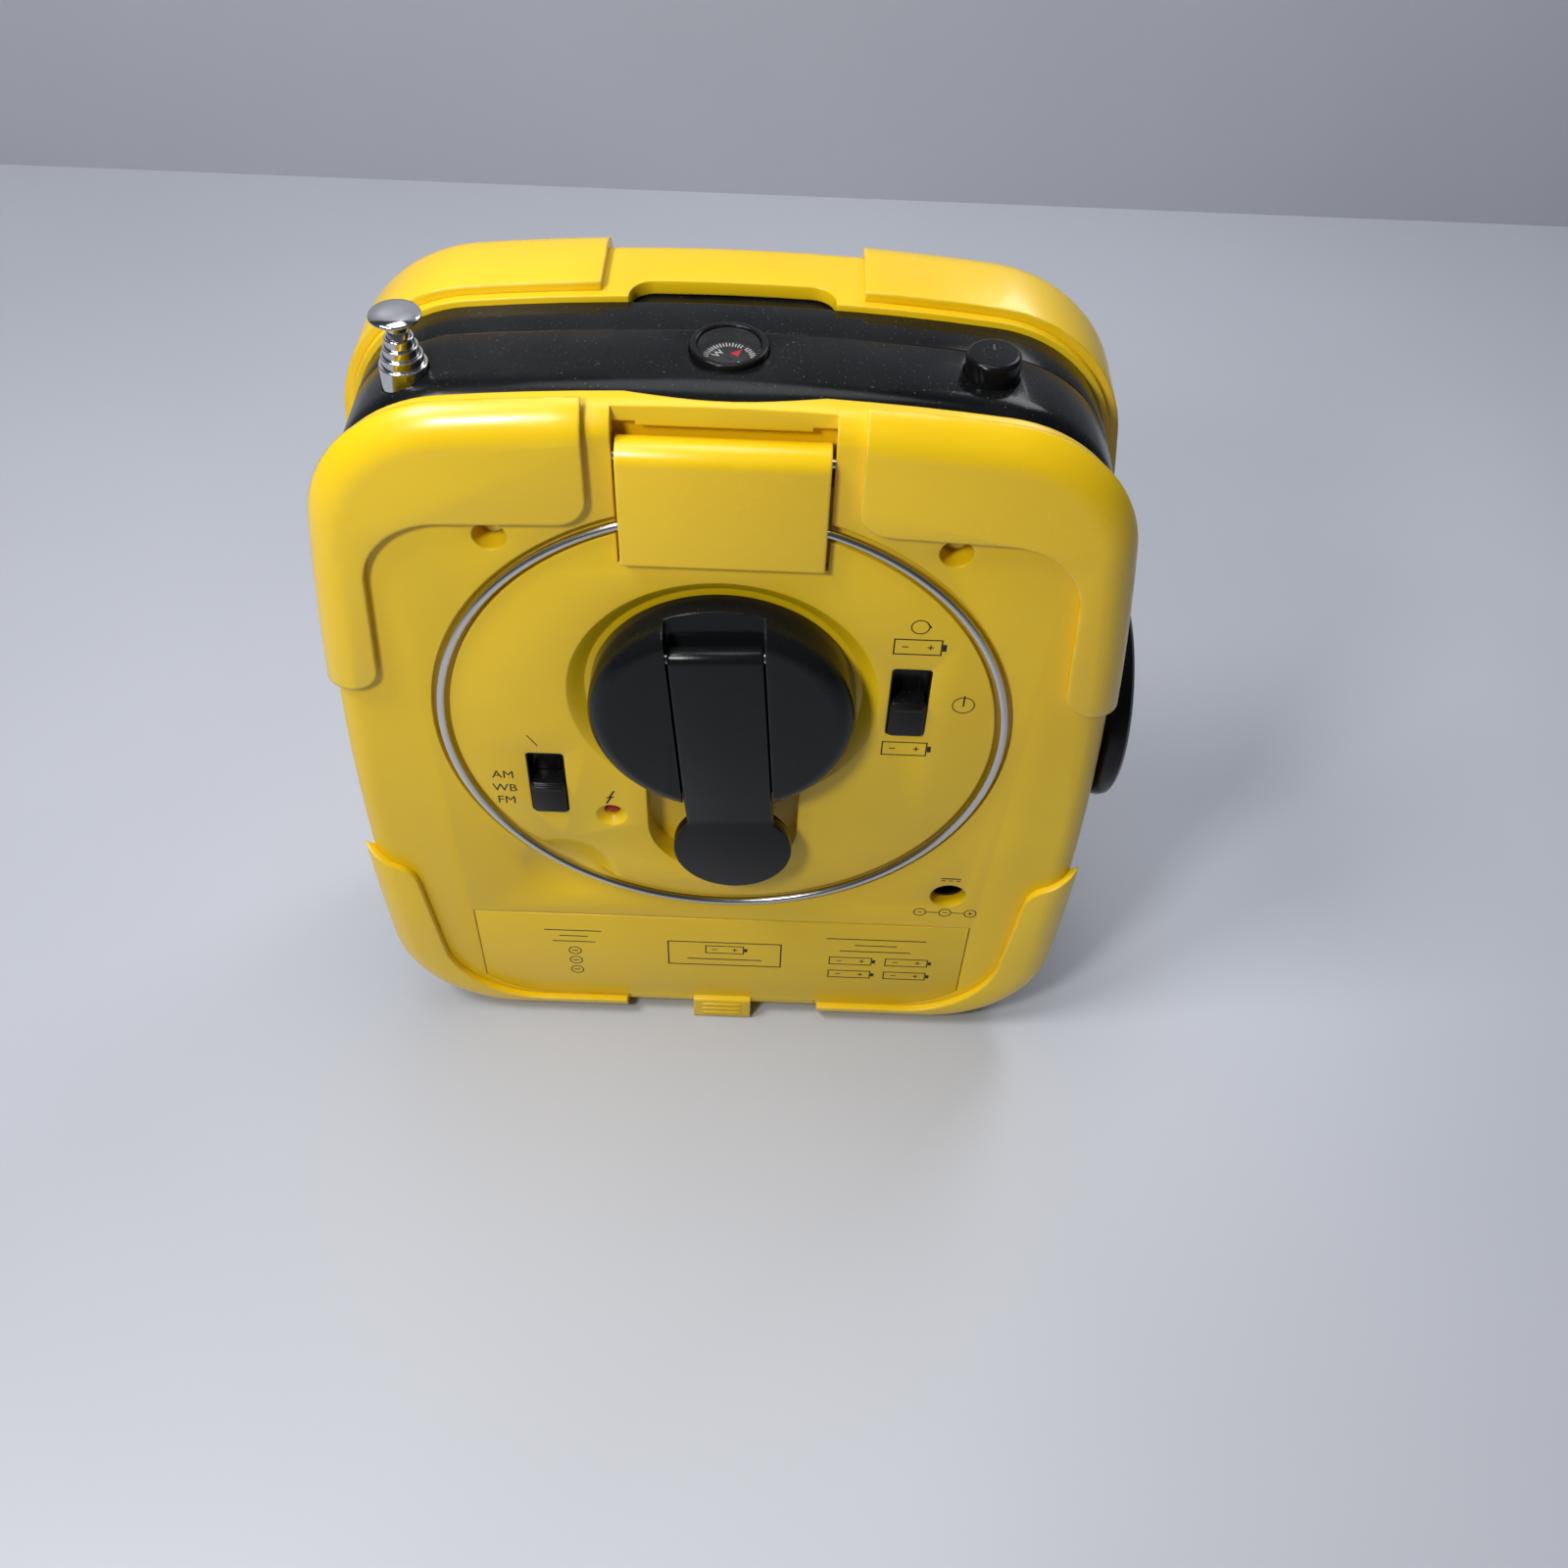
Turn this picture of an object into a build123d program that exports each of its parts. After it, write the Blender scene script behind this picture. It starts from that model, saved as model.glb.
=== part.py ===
"""Hand-cranked emergency radio with torch, compass, clock and telescopic antenna.

Frame: +Z up, +X to the right when looking at the crank side, which faces -Y.
The origin is the bottom centre of the whole object's box, so it stands on Z = 0.
"""
from build123d import *
from math import atan, cos, pi, radians, sin, sqrt, tan
import os

os.makedirs("parts", exist_ok=True)

# ---------------------------------------------------------------- driving dimensions, mm
# Case outline, seen from the crank side
CASE_HALF_WIDTH = 69.6      # half width midway up
CASE_TOP_HALF = 61.5        # half width where the side and top arcs would meet
CASE_BASE_HALF = 67.3       # half width where the side arcs and the base would meet
CASE_TOP = 161.3            # level of the crown of the top arc
CASE_TOP_SAG = 5.0          # how far the top arc falls at its ends
BUMPER_PROUD = 1.6          # how far the corner bumpers stand off the case
TOP_CORNER = 25.0
BASE_CORNER = 24.0
# Case depths, from the middle plane: negative towards the crank side
CASE_DEPTH = 50.0
REAR_RIM = 5.5 - CASE_DEPTH / 2     # rim of the shallow rear shell
FRONT_RIM = 6.0             # rim of the deep front shell
BAND_SPLIT = -2.0           # where the two halves of the black band meet
REAR_WALL = 3.0             # thickness of the rear face
FRONT_WALL = 2.5
SIDE_WALL = 2.4
REAR_ROUND = 5.0            # edge rounding of the rear face
FRONT_ROUND = 6.0
BAND_SET_IN = 1.0           # the band lies this far inside the case outline
BAND_SHOULDER = 7.0         # rounding of the band where it dives behind the rear shell
BAND_WALL = 2.4
BAND_TONGUE = 5.0           # band tongue inside the front shell
LAP_GAP = 0.2               # gap of the tongue in the shell
RING_WALL = 2.0             # inner wall of the rear shell that meets the band
# Bumpers
BUMPER_END = 21.0           # where a bumper stops beside the middle
BUMPER_LIP = 3.0            # lip of the rear shell that a bumper leaves bare
BUMPER_FRONT_LIP = 1.5
BUMPER_HEAD = CASE_TOP - 20.3       # lower edge of a top bumper's level arm
BUMPER_ANKLE = 49.5         # upper end of a base bumper
BUMPER_FOOT = 5.8           # upper edge of a base bumper's level arm
BUMPER_INNER = 57.3         # inner edge of a base bumper's upright arm
BUMPER_BEND = 20.0
# Crank
CRANK_LEVEL = CASE_TOP - 59.8
CRANK_REST_TURN = 3.5       # degrees that the folded crank hangs off the vertical
DRUM_RADIUS = 23.3
DISH_RADIUS = DRUM_RADIUS + 4.1
DISH_DEPTH = 2.2
DISH_SLOPE = 3.0
DRUM_PROUD = 6.9
DRUM_ROUND = 3.5
DRUM_GAP = 0.3              # drum's back over the dish floor
ARM_WIDTH = 16.0
ARM_SIDE_GAP = 0.3
ARM_LIFT = 2.7              # underside of the arm above the rear face
ARM_FLOOR_GAP = 0.3
HINGE_UP = 15.2             # crank hinge above the crank's axis
HINGE_PIN_RADIUS = 1.0
HINGE_PIN_HALF = ARM_WIDTH / 2 + 3.5
PADDLE_DOWN = DRUM_RADIUS + 12.0    # centre of the paddle below the crank's axis
PADDLE_RADIUS = 11.2
PADDLE_THICK = 2.9
STEP_START = 19.2           # the arm steps down to the paddle between these two
STEP_END = 26.0
KNOB_RADIUS = 7.6
KNOB_THICK = 2.0
KNOB_DROP = 0.4             # knob's face below the paddle's underside
KNOB_STEM = 1.5
SHAFT_RADIUS = 3.0
RUNNING = 0.05              # radial clearance of every turning fit
POCKET_HALF = 14.3          # U-shaped finger pocket under the paddle
POCKET_LEVEL = CRANK_LEVEL - 35.0
POCKET_DEPTH = 5.0
# Gear train
GEAR_MODULE = 0.7
GEAR_ANGLE = 25.0           # pressure angle
GEAR_BACKLASH = 0.14
CRANK_TEETH = 48
IDLER_PINION_TEETH = 16
IDLER_WHEEL_TEETH = 36
GENERATOR_TEETH = 12
IDLER_BEARING = 165.0       # direction of the idler from the crank, degrees
GENERATOR_BEARING = 95.0    # direction of the generator from the idler
FIRST_MESH = (-16.0, -12.0)
SECOND_MESH = (-11.4, -8.4)
PLATE_DEPTH = (-7.6, -6.1)
AXLE_RADIUS = 1.5
GENERATOR_RADIUS = 11.0
GENERATOR_LENGTH = 15.0
ROTOR_RADIUS = 1.0
PLATE_POSTS = (     # the first one stands on the rear face, the others on pads
    (-38.5, CRANK_LEVEL + 2.5), (20.5, CRANK_LEVEL + 16), (-4.0, CRANK_LEVEL + 34.5))
# Bail: wire ring and the bracket it hangs in
RING_RADIUS = 50.0
RING_LEVEL = CASE_TOP - 68.3
WIRE_RADIUS = 0.75
RING_DEPTH = -0.2 - CASE_DEPTH / 2
GROOVE_HALF = 1.6
GROOVE_DEPTH = 1.2
BRACKET_HALF = 16.2
BRACKET_BASE = CASE_TOP - 28.4
BRACKET_PIN_LEVEL = CASE_TOP - 8.8
BRACKET_PIN_DEPTH = 1.3 - CASE_DEPTH / 2
BRACKET_BARREL = 3.1
BRACKET_THICK = 3.2
BRACKET_GAP = 0.6           # beside the bracket
BRACKET_PIN_RADIUS = 0.8
BRACKET_PIN_END = 3.2       # the pin's reach into the shell beside the bracket
# Battery door and bay
DOOR_HALF = 51.4
DOOR_TOP = 36.0
DOOR_THICK = 1.8
DOOR_GAP = 0.2
DOOR_CLEAR = 0.6            # between the door and the bumpers
TAB_HALF = 6.3
TAB_PROUD = 1.2
BAY_HALF = 43.5
BAY_BASE = 12.8
BAY_TOP = 36.4
BAY_BACK = 25.4 - CASE_DEPTH / 2
BAY_WALL = 1.2
CELL_RADIUS = 5.2
CELL_LENGTH = 44.0
# Torch on the right side
TORCH_LEVEL = CASE_TOP / 2 + 1.35
TORCH_DEPTH = 1.0
TORCH_TUBE = 18.6
TORCH_RADIUS = TORCH_TUBE + 2.2
TORCH_OUT = 75.0
TORCH_GAP = 0.2
TORCH_BACK = 52.0
LENS_RADIUS = TORCH_TUBE - 2.0
BUMPER_TIP = TORCH_LEVEL + TORCH_RADIUS + 0.4       # lower end of a top bumper
# Antenna at the left end of the band
ANTENNA_X = -49.5
ANTENNA_Y = -10.5
ANTENNA_FOOT = 62.0
ANTENNA_MOUTH = CASE_TOP - 2.9
ANTENNA_RADIUS = 3.75
ANTENNA_STEP = 0.5          # each section is this much smaller in radius
ANTENNA_COLLAR = 1.5        # each section's collar shows this much
ANTENNA_CAP = ANTENNA_RADIUS + 0.25
# Compass
COMPASS_Y = -6.5
COMPASS_RADIUS = 6.1
COMPASS_TOP = CASE_TOP
COMPASS_DEEP = 6.1
COMPASS_WINDOW = 5.0
COMPASS_PIVOT = 0.4
# Power button
POWER_X = 40.6
POWER_Y = -7.0
POWER_RADIUS = 4.3
POWER_TOP = CASE_TOP + 0.5
# Slide switches on the rear face
SLOT_WIDTH = 7.0
SLOT_LENGTH = 16.5
SLIDER_LENGTH = 8.4
SLIDER_GAP = 0.3
SWITCH_WIDTH = 8.4
SWITCH_STEM = 3.0
BAND_SWITCH = (-DISH_RADIUS - 5.2, CRANK_LEVEL - 23.7)
SOURCE_SWITCH = (DISH_RADIUS + 5.0, CRANK_LEVEL + 1.3)
# Small rear details
LED_PLACE = (-21.2, CRANK_LEVEL - 32.6)
JACK_PLACE = (45.7, 47.0)
JACK_RADIUS = 3.65
SCREW_TOP = (36.8, CASE_TOP - 24.4)
SCREW_BASE = (48.6, 30.0)
SCREW_RADIUS = 1.25
DIMPLE_RADIUS = 2.75
DIMPLE_DEPTH = 5.5
BOSS_END = -12.0            # the rear bosses meet the front pillars here
SCREW_HEAD = 1.4
SCOOP_PLACE = (-31.0, CRANK_LEVEL - 50.0)
SCOOP_RADIUS = 9.8
SCOOP_DEPTH = 2.1
NOTCH_RADIUS = 60.0         # thumb notch in the rear rim
# Front side
SPEAKER_PLACE = (-21.0, 92.0)
SPEAKER_RADIUS = 28.5
GRILLE_RADIUS = 30.0
TUNING_PLACE = (33.0, CASE_TOP - 49.3)
TUNING_RADIUS = 9.0
DISC_RADIUS = 17.0
VOLUME_PLACE = (34.0, 76.0)
VOLUME_RADIUS = 7.5
KNOB_OUT = 6.5              # how far the front knobs stand off the front face
CLOCK_PLACE = (-21.0, 44.0)
CLOCK_SIZE = (36.0, 15.0)
KEY_PLACES = ((9.0, 44.0), (21.0, 44.0))
KEY_RADIUS = 3.2
KEY_PROUD = 1.4
KEY_FLANGE = 1.2
KEY_TRAVEL = 0.9
KNOB_SHAFT = 2.0
GRILLE_SEAT = 1.2           # depth of the grille's seat in the front face
GRILLE_PROUD = 0.8
GRILLE_PITCH = 4.6
GRILLE_SLOT = 2.2
DIAL_LEVEL = CASE_TOP - 36.1
DIAL_SIZE = (18.0, 6.0)
DISC_DEPTH = (CASE_DEPTH / 2 - 4.6, CASE_DEPTH / 2 - 3.8)
BOARD_DEPTH = (10.0, 11.6)
BOARD_SIDES = (9.0, 49.0)      # across the case
BOARD_BASE = 40.0
BOARD_OVER_TUNING = 14.0       # the board's top edge above the tuning shaft
ROD_LEVEL = CASE_TOP - 15.3
ROD_DEPTH = 13.0
ROD_RADIUS = 4.0

# ---------------------------------------------------------------- worked out from them
REAR_FACE = -CASE_DEPTH / 2
FRONT_FACE = CASE_DEPTH / 2
CASE_Y = (DRUM_PROUD - KNOB_OUT) / 2
BAND_END = BAND_SET_IN + BAND_SHOULDER


# The case outline is a rounded square: a top arc, two side arcs and a straight base.
# Growing it moves each arc along its own normals, so all the outlines stay parallel.
top_arc_radius = (CASE_TOP_HALF ** 2 + CASE_TOP_SAG ** 2) / (2 * CASE_TOP_SAG)
top_arc_level = CASE_TOP - top_arc_radius
side_chord = Vector(CASE_TOP_HALF - CASE_BASE_HALF, CASE_TOP - CASE_TOP_SAG - BUMPER_PROUD)
side_middle = Vector((CASE_TOP_HALF + CASE_BASE_HALF) / 2, BUMPER_PROUD + side_chord.Y / 2)
side_out = Vector(side_chord.Y, -side_chord.X).normalized()
side_rise = (CASE_HALF_WIDTH - side_middle.X) / side_out.X
side_arc_radius = (side_chord.length ** 2 / 4 + side_rise ** 2) / (2 * side_rise)
side_arc_centre = side_middle - side_out * (side_arc_radius - side_rise)

CASE_X = (side_arc_centre.X + side_arc_radius + BUMPER_PROUD - TORCH_OUT) / 2


def facing_back(y, x=0.0, z=0.0):
    """A plane across the case at depth y: its X is right, its Y is up, its normal is -Y."""
    return Plane(origin=(CASE_X + x, CASE_Y + y, z), x_dir=(1, 0, 0), z_dir=(0, -1, 0))


def facing_up(z, x=0.0, y=0.0):
    """A level plane at height z."""
    return Plane(origin=(CASE_X + x, CASE_Y + y, z), x_dir=(1, 0, 0), z_dir=(0, 0, 1))


def facing_right(x, y=0.0, z=0.0):
    """A plane across the width at x: its X is depth, its Y is up, its normal is +X."""
    return Plane(origin=(CASE_X + x, CASE_Y + y, z), x_dir=(0, 1, 0), z_dir=(1, 0, 0))

def outline(grow):
    """The case outline, grown all round by grow, or shrunk if it is negative."""
    top_radius = top_arc_radius + grow
    side_radius = side_arc_radius + grow
    # where the grown top and side arcs meet, on the right
    apart = Vector(0, top_arc_level) - side_arc_centre
    along = (apart.length ** 2 + side_radius ** 2 - top_radius ** 2) / (2 * apart.length)
    aside = sqrt(side_radius ** 2 - along ** 2)
    unit = apart.normalized()
    shoulder = side_arc_centre + unit * along + Vector(-unit.Y, unit.X) * aside
    base = BUMPER_PROUD - grow
    foot_x = side_arc_centre.X + sqrt(side_radius ** 2 - (base - side_arc_centre.Y) ** 2)
    side_x = side_arc_centre.X + side_radius
    crown = top_arc_level + top_radius
    with BuildSketch() as grown:
        with BuildLine():
            ThreePointArc((-shoulder.X, shoulder.Y), (0, crown), (shoulder.X, shoulder.Y))
            ThreePointArc(
                (shoulder.X, shoulder.Y), (side_x, side_arc_centre.Y), (foot_x, base))
            Line((foot_x, base), (-foot_x, base))
            ThreePointArc(
                (-foot_x, base), (-side_x, side_arc_centre.Y), (-shoulder.X, shoulder.Y))
        make_face()
        fillet(grown.vertices().group_by(Axis.Y)[-1], TOP_CORNER + grow)
        fillet(grown.vertices().group_by(Axis.Y)[0], BASE_CORNER + grow)
    return grown.sketch


def slab(grow, y_far, y_near):
    """A solid of the case outline between two depths, y_far being nearer the front."""
    with BuildPart() as block:
        with BuildSketch(facing_back(y_far)):
            add(outline(grow))
        extrude(amount=y_far - y_near)
    return block.part


def rear_form(grow, y_far):
    """The rounded form of the crank side, from y_far out to the face."""
    with BuildPart() as form:
        with BuildSketch(facing_back(y_far)):
            add(outline(grow))
        extrude(amount=y_far - REAR_FACE + grow)
        fillet(form.edges().group_by(Axis.Y)[0], REAR_ROUND + grow)
    return form.part


def front_form(grow, y_near):
    """The rounded form of the speaker side, from y_near out to the front face."""
    with BuildPart() as form:
        with BuildSketch(facing_back(y_near)):
            add(outline(grow))
        extrude(amount=-(FRONT_FACE - y_near + grow))
        fillet(form.edges().group_by(Axis.Y)[-1], FRONT_ROUND + grow)
    return form.part


crank_plane = Plane(
    origin=(CASE_X, CASE_Y + REAR_FACE, CRANK_LEVEL),
    x_dir=(cos(radians(CRANK_REST_TURN)), 0, sin(radians(CRANK_REST_TURN))),
    z_dir=(0, -1, 0))
barrel_radius = (DRUM_PROUD - ARM_LIFT) / 2
scoop_ball = (SCOOP_RADIUS ** 2 + SCOOP_DEPTH ** 2) / (2 * SCOOP_DEPTH)
hinge_height = ARM_LIFT + barrel_radius
dish_floor = REAR_FACE + DISH_DEPTH
drum_back = -DISH_DEPTH + DRUM_GAP
screw_places = [
    (side * place[0], place[1]) for place in (SCREW_TOP, SCREW_BASE) for side in (-1, 1)]


def door_outline(grow):
    """The battery door: straight top and sides, cut round the base bumpers, tongue to the base."""
    half = DOOR_HALF + grow
    inner = BUMPER_INNER - BUMPER_BEND
    bend = BUMPER_BEND - DOOR_CLEAR + grow
    level = BUMPER_FOOT + BUMPER_BEND
    side_level = level - sqrt(bend ** 2 - (half - inner) ** 2)
    shallow = (half - inner) / 2
    middle = (inner + shallow, level - sqrt(bend ** 2 - shallow ** 2))
    tongue = BUMPER_END - DOOR_CLEAR + grow
    with BuildSketch() as door:
        with BuildLine():
            Polyline(
                (inner, level - bend), (tongue, level - bend), (tongue, -9), (-tongue, -9),
                (-tongue, level - bend), (-inner, level - bend))
            ThreePointArc(
                (-inner, level - bend), (-middle[0], middle[1]), (-half, side_level))
            Polyline(
                (-half, side_level), (-half, DOOR_TOP + grow), (half, DOOR_TOP + grow),
                (half, side_level))
            ThreePointArc((half, side_level), middle, (inner, level - bend))
        make_face()
    return door.sketch


def bumper_region(side, top):
    """The corner of the case that one bumper covers, seen from the crank side."""
    if top:
        points = [
            (BUMPER_END, CASE_TOP + 14), (BUMPER_END, BUMPER_HEAD), (57, BUMPER_HEAD - 1.5),
            (59.5, BUMPER_TIP), (80, BUMPER_TIP - 3), (80, CASE_TOP + 14)]
        bends = {1: 5, 2: 14, 3: 5}
    else:
        points = [
            (BUMPER_END, -5), (BUMPER_END, BUMPER_FOOT), (BUMPER_INNER, BUMPER_FOOT),
            (61.5, BUMPER_ANKLE), (80, BUMPER_ANKLE + 11), (80, -5)]
        bends = {2: BUMPER_BEND, 3: 6}
    with BuildSketch() as region:
        with BuildLine():
            Polyline(*[(side * x, y) for x, y in points], close=True)
        make_face()
        for index, radius in bends.items():
            corner = (side * points[index][0], points[index][1])
            fillet(region.vertices().sort_by_distance(corner)[0], radius)
    return region.sketch


# ---------------------------------------------------------------- rear shell
with BuildPart() as rear_shell:
    add(rear_form(0, REAR_RIM))
    add(slab(-SIDE_WALL, REAR_RIM, REAR_FACE + REAR_WALL), mode=Mode.SUBTRACT)
    # inner wall that the band butts on
    with BuildSketch(facing_back(REAR_RIM)):
        add(outline(-BAND_END + 0.5))
        add(outline(-BAND_END + 0.5 - RING_WALL), mode=Mode.SUBTRACT)
    extrude(amount=REAR_RIM - REAR_FACE - REAR_WALL)
    # thick pads behind the crank dish and the bracket recess
    with BuildSketch(facing_back(REAR_RIM)):
        with Locations((0, CRANK_LEVEL)):
            Circle(DISH_RADIUS + 0.5)
        with Locations((0, BRACKET_PIN_LEVEL - 4)):
            Rectangle(2 * BRACKET_HALF + 8, 34)
        add(outline(-SIDE_WALL), mode=Mode.INTERSECT)
    extrude(amount=REAR_RIM - REAR_FACE - REAR_WALL)
    # skin round the deep finger pocket
    with BuildSketch(facing_back(REAR_FACE + POCKET_DEPTH + 1.5)):
        with Locations((0, POCKET_LEVEL)):
            Circle(POCKET_HALF + 1.5)
        with Locations((0, POCKET_LEVEL + 6)):
            Rectangle(2 * POCKET_HALF + 3, 12)
    extrude(amount=POCKET_DEPTH + 1.5 - REAR_WALL)
    # screw bosses
    with BuildSketch(facing_back(BOSS_END)):
        with Locations(*screw_places):
            Circle(4.0)
    extrude(amount=BOSS_END - REAR_FACE - REAR_WALL)
    # battery bay
    with BuildSketch(facing_back(BAY_BACK + BAY_WALL)):
        with Locations((0, (BAY_BASE + BAY_TOP) / 2)):
            Rectangle(2 * BAY_HALF + 2 * BAY_WALL, BAY_TOP - BAY_BASE + 2 * BAY_WALL)
    extrude(amount=BAY_BACK + BAY_WALL - REAR_FACE - REAR_WALL)
    # U-shaped finger pocket under the paddle
    with BuildSketch(facing_back(REAR_FACE + POCKET_DEPTH)):
        with Locations((0, POCKET_LEVEL)):
            Circle(POCKET_HALF)
        with Locations((0, POCKET_LEVEL + 7)):
            Rectangle(2 * POCKET_HALF, 14)
    extrude(amount=POCKET_DEPTH, mode=Mode.SUBTRACT)
    # dish round the crank
    with BuildSketch(facing_back(REAR_FACE)):
        with Locations((0, CRANK_LEVEL)):
            Circle(DISH_RADIUS)
    with BuildSketch(facing_back(dish_floor)):
        with Locations((0, CRANK_LEVEL)):
            Circle(DISH_RADIUS - DISH_SLOPE)
    loft(mode=Mode.SUBTRACT)
    with BuildSketch(facing_back(REAR_RIM)):
        with Locations((0, CRANK_LEVEL)):
            Circle(SHAFT_RADIUS + RUNNING)
    extrude(amount=CASE_DEPTH, mode=Mode.SUBTRACT)
    # ring groove
    with BuildSketch(facing_back(REAR_FACE + GROOVE_DEPTH)):
        with Locations((0, RING_LEVEL)):
            Circle(RING_RADIUS + GROOVE_HALF)
            Circle(RING_RADIUS - GROOVE_HALF, mode=Mode.SUBTRACT)
    extrude(amount=CASE_DEPTH, mode=Mode.SUBTRACT)
    # finger scoop under the ring
    with Locations(facing_back(REAR_FACE + SCOOP_DEPTH - scoop_ball, *SCOOP_PLACE)):
        Sphere(scoop_ball, mode=Mode.SUBTRACT)
    # bracket recess: plate, barrel and the open top
    with BuildSketch(facing_back(REAR_FACE + 1.6)):
        with Locations((0, (BRACKET_BASE - 0.4 + CASE_TOP + 9) / 2)):
            Rectangle(2 * (BRACKET_HALF + BRACKET_GAP), CASE_TOP + 9 - BRACKET_BASE + 0.4)
    extrude(amount=CASE_DEPTH, mode=Mode.SUBTRACT)
    with BuildSketch(facing_back(REAR_FACE + 2.6)):
        with Locations((0, CASE_TOP)):
            Rectangle(2 * (BRACKET_HALF + BRACKET_GAP), 12)
    extrude(amount=CASE_DEPTH, mode=Mode.SUBTRACT)
    with BuildSketch(facing_back(BRACKET_PIN_DEPTH + BRACKET_BARREL + 0.25)):
        with Locations((0, BRACKET_PIN_LEVEL)):
            Rectangle(2 * (BRACKET_HALF + BRACKET_GAP), 2 * BRACKET_BARREL + 3)
    extrude(amount=CASE_DEPTH, mode=Mode.SUBTRACT)
    with BuildSketch(facing_right(-BRACKET_HALF - BRACKET_PIN_END, BRACKET_PIN_DEPTH,
                                  BRACKET_PIN_LEVEL)):
        Circle(BRACKET_PIN_RADIUS)
    extrude(amount=2 * (BRACKET_HALF + BRACKET_PIN_END), mode=Mode.SUBTRACT)
    # square reliefs over the bracket's top corners
    with BuildSketch(facing_back(REAR_RIM - 1.4)):
        with Locations(*[
                (side * (BRACKET_HALF + BRACKET_GAP - 1.8), BRACKET_PIN_LEVEL + BRACKET_BARREL)
                for side in (-1, 1)]):
            Rectangle(3.6, 4.4)
    extrude(amount=CASE_DEPTH, mode=Mode.SUBTRACT)
    # shallow thumb notch in the top rim
    with BuildSketch(facing_up(CASE_TOP - 3.6, 0, REAR_RIM + NOTCH_RADIUS - 1.9)):
        Circle(NOTCH_RADIUS)
    extrude(amount=20, mode=Mode.SUBTRACT)
    # round seat of the torch, which a wide torch needs here too
    with BuildSketch(facing_right(TORCH_BACK, TORCH_DEPTH, TORCH_LEVEL)):
        Circle(TORCH_TUBE + TORCH_GAP)
    extrude(amount=CASE_DEPTH, mode=Mode.SUBTRACT)
    # slide-switch slots
    with BuildSketch(facing_back(0)):
        with Locations(BAND_SWITCH, SOURCE_SWITCH):
            RectangleRounded(SLOT_WIDTH, SLOT_LENGTH, 0.8)
    extrude(amount=CASE_DEPTH, mode=Mode.SUBTRACT)
    # light, socket and screw dimples
    with Locations(facing_back(REAR_FACE, *LED_PLACE)):
        CounterSinkHole(1.6, 3.0, depth=CASE_DEPTH / 5, counter_sink_angle=90)
    with Locations(facing_back(REAR_FACE, *JACK_PLACE)):
        Hole(JACK_RADIUS, depth=REAR_WALL)
    with Locations(*[facing_back(REAR_FACE, *place) for place in screw_places]):
        CounterBoreHole(
            SCREW_RADIUS + 0.15, DIMPLE_RADIUS, DIMPLE_DEPTH, depth=BOSS_END - REAR_FACE + 1)
    # door rebate and the bay's own hollow
    with BuildSketch(facing_back(REAR_FACE + DOOR_THICK + 0.1)):
        add(door_outline(DOOR_GAP))
    extrude(amount=CASE_DEPTH, mode=Mode.SUBTRACT)
    with BuildSketch(facing_back(REAR_FACE + REAR_WALL)):
        with Locations((0, 0)):
            Rectangle(2 * TAB_HALF + 1, 15)
    extrude(amount=CASE_DEPTH, mode=Mode.SUBTRACT)
    with BuildSketch(facing_back(BAY_BACK)):
        with Locations((0, (BAY_BASE + BAY_TOP) / 2)):
            Rectangle(2 * BAY_HALF, BAY_TOP - BAY_BASE)
    extrude(amount=CASE_DEPTH, mode=Mode.SUBTRACT)
rear_shell.part.label = "rear_shell"
export_step(rear_shell.part, "parts/rear_shell.step")

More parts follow.
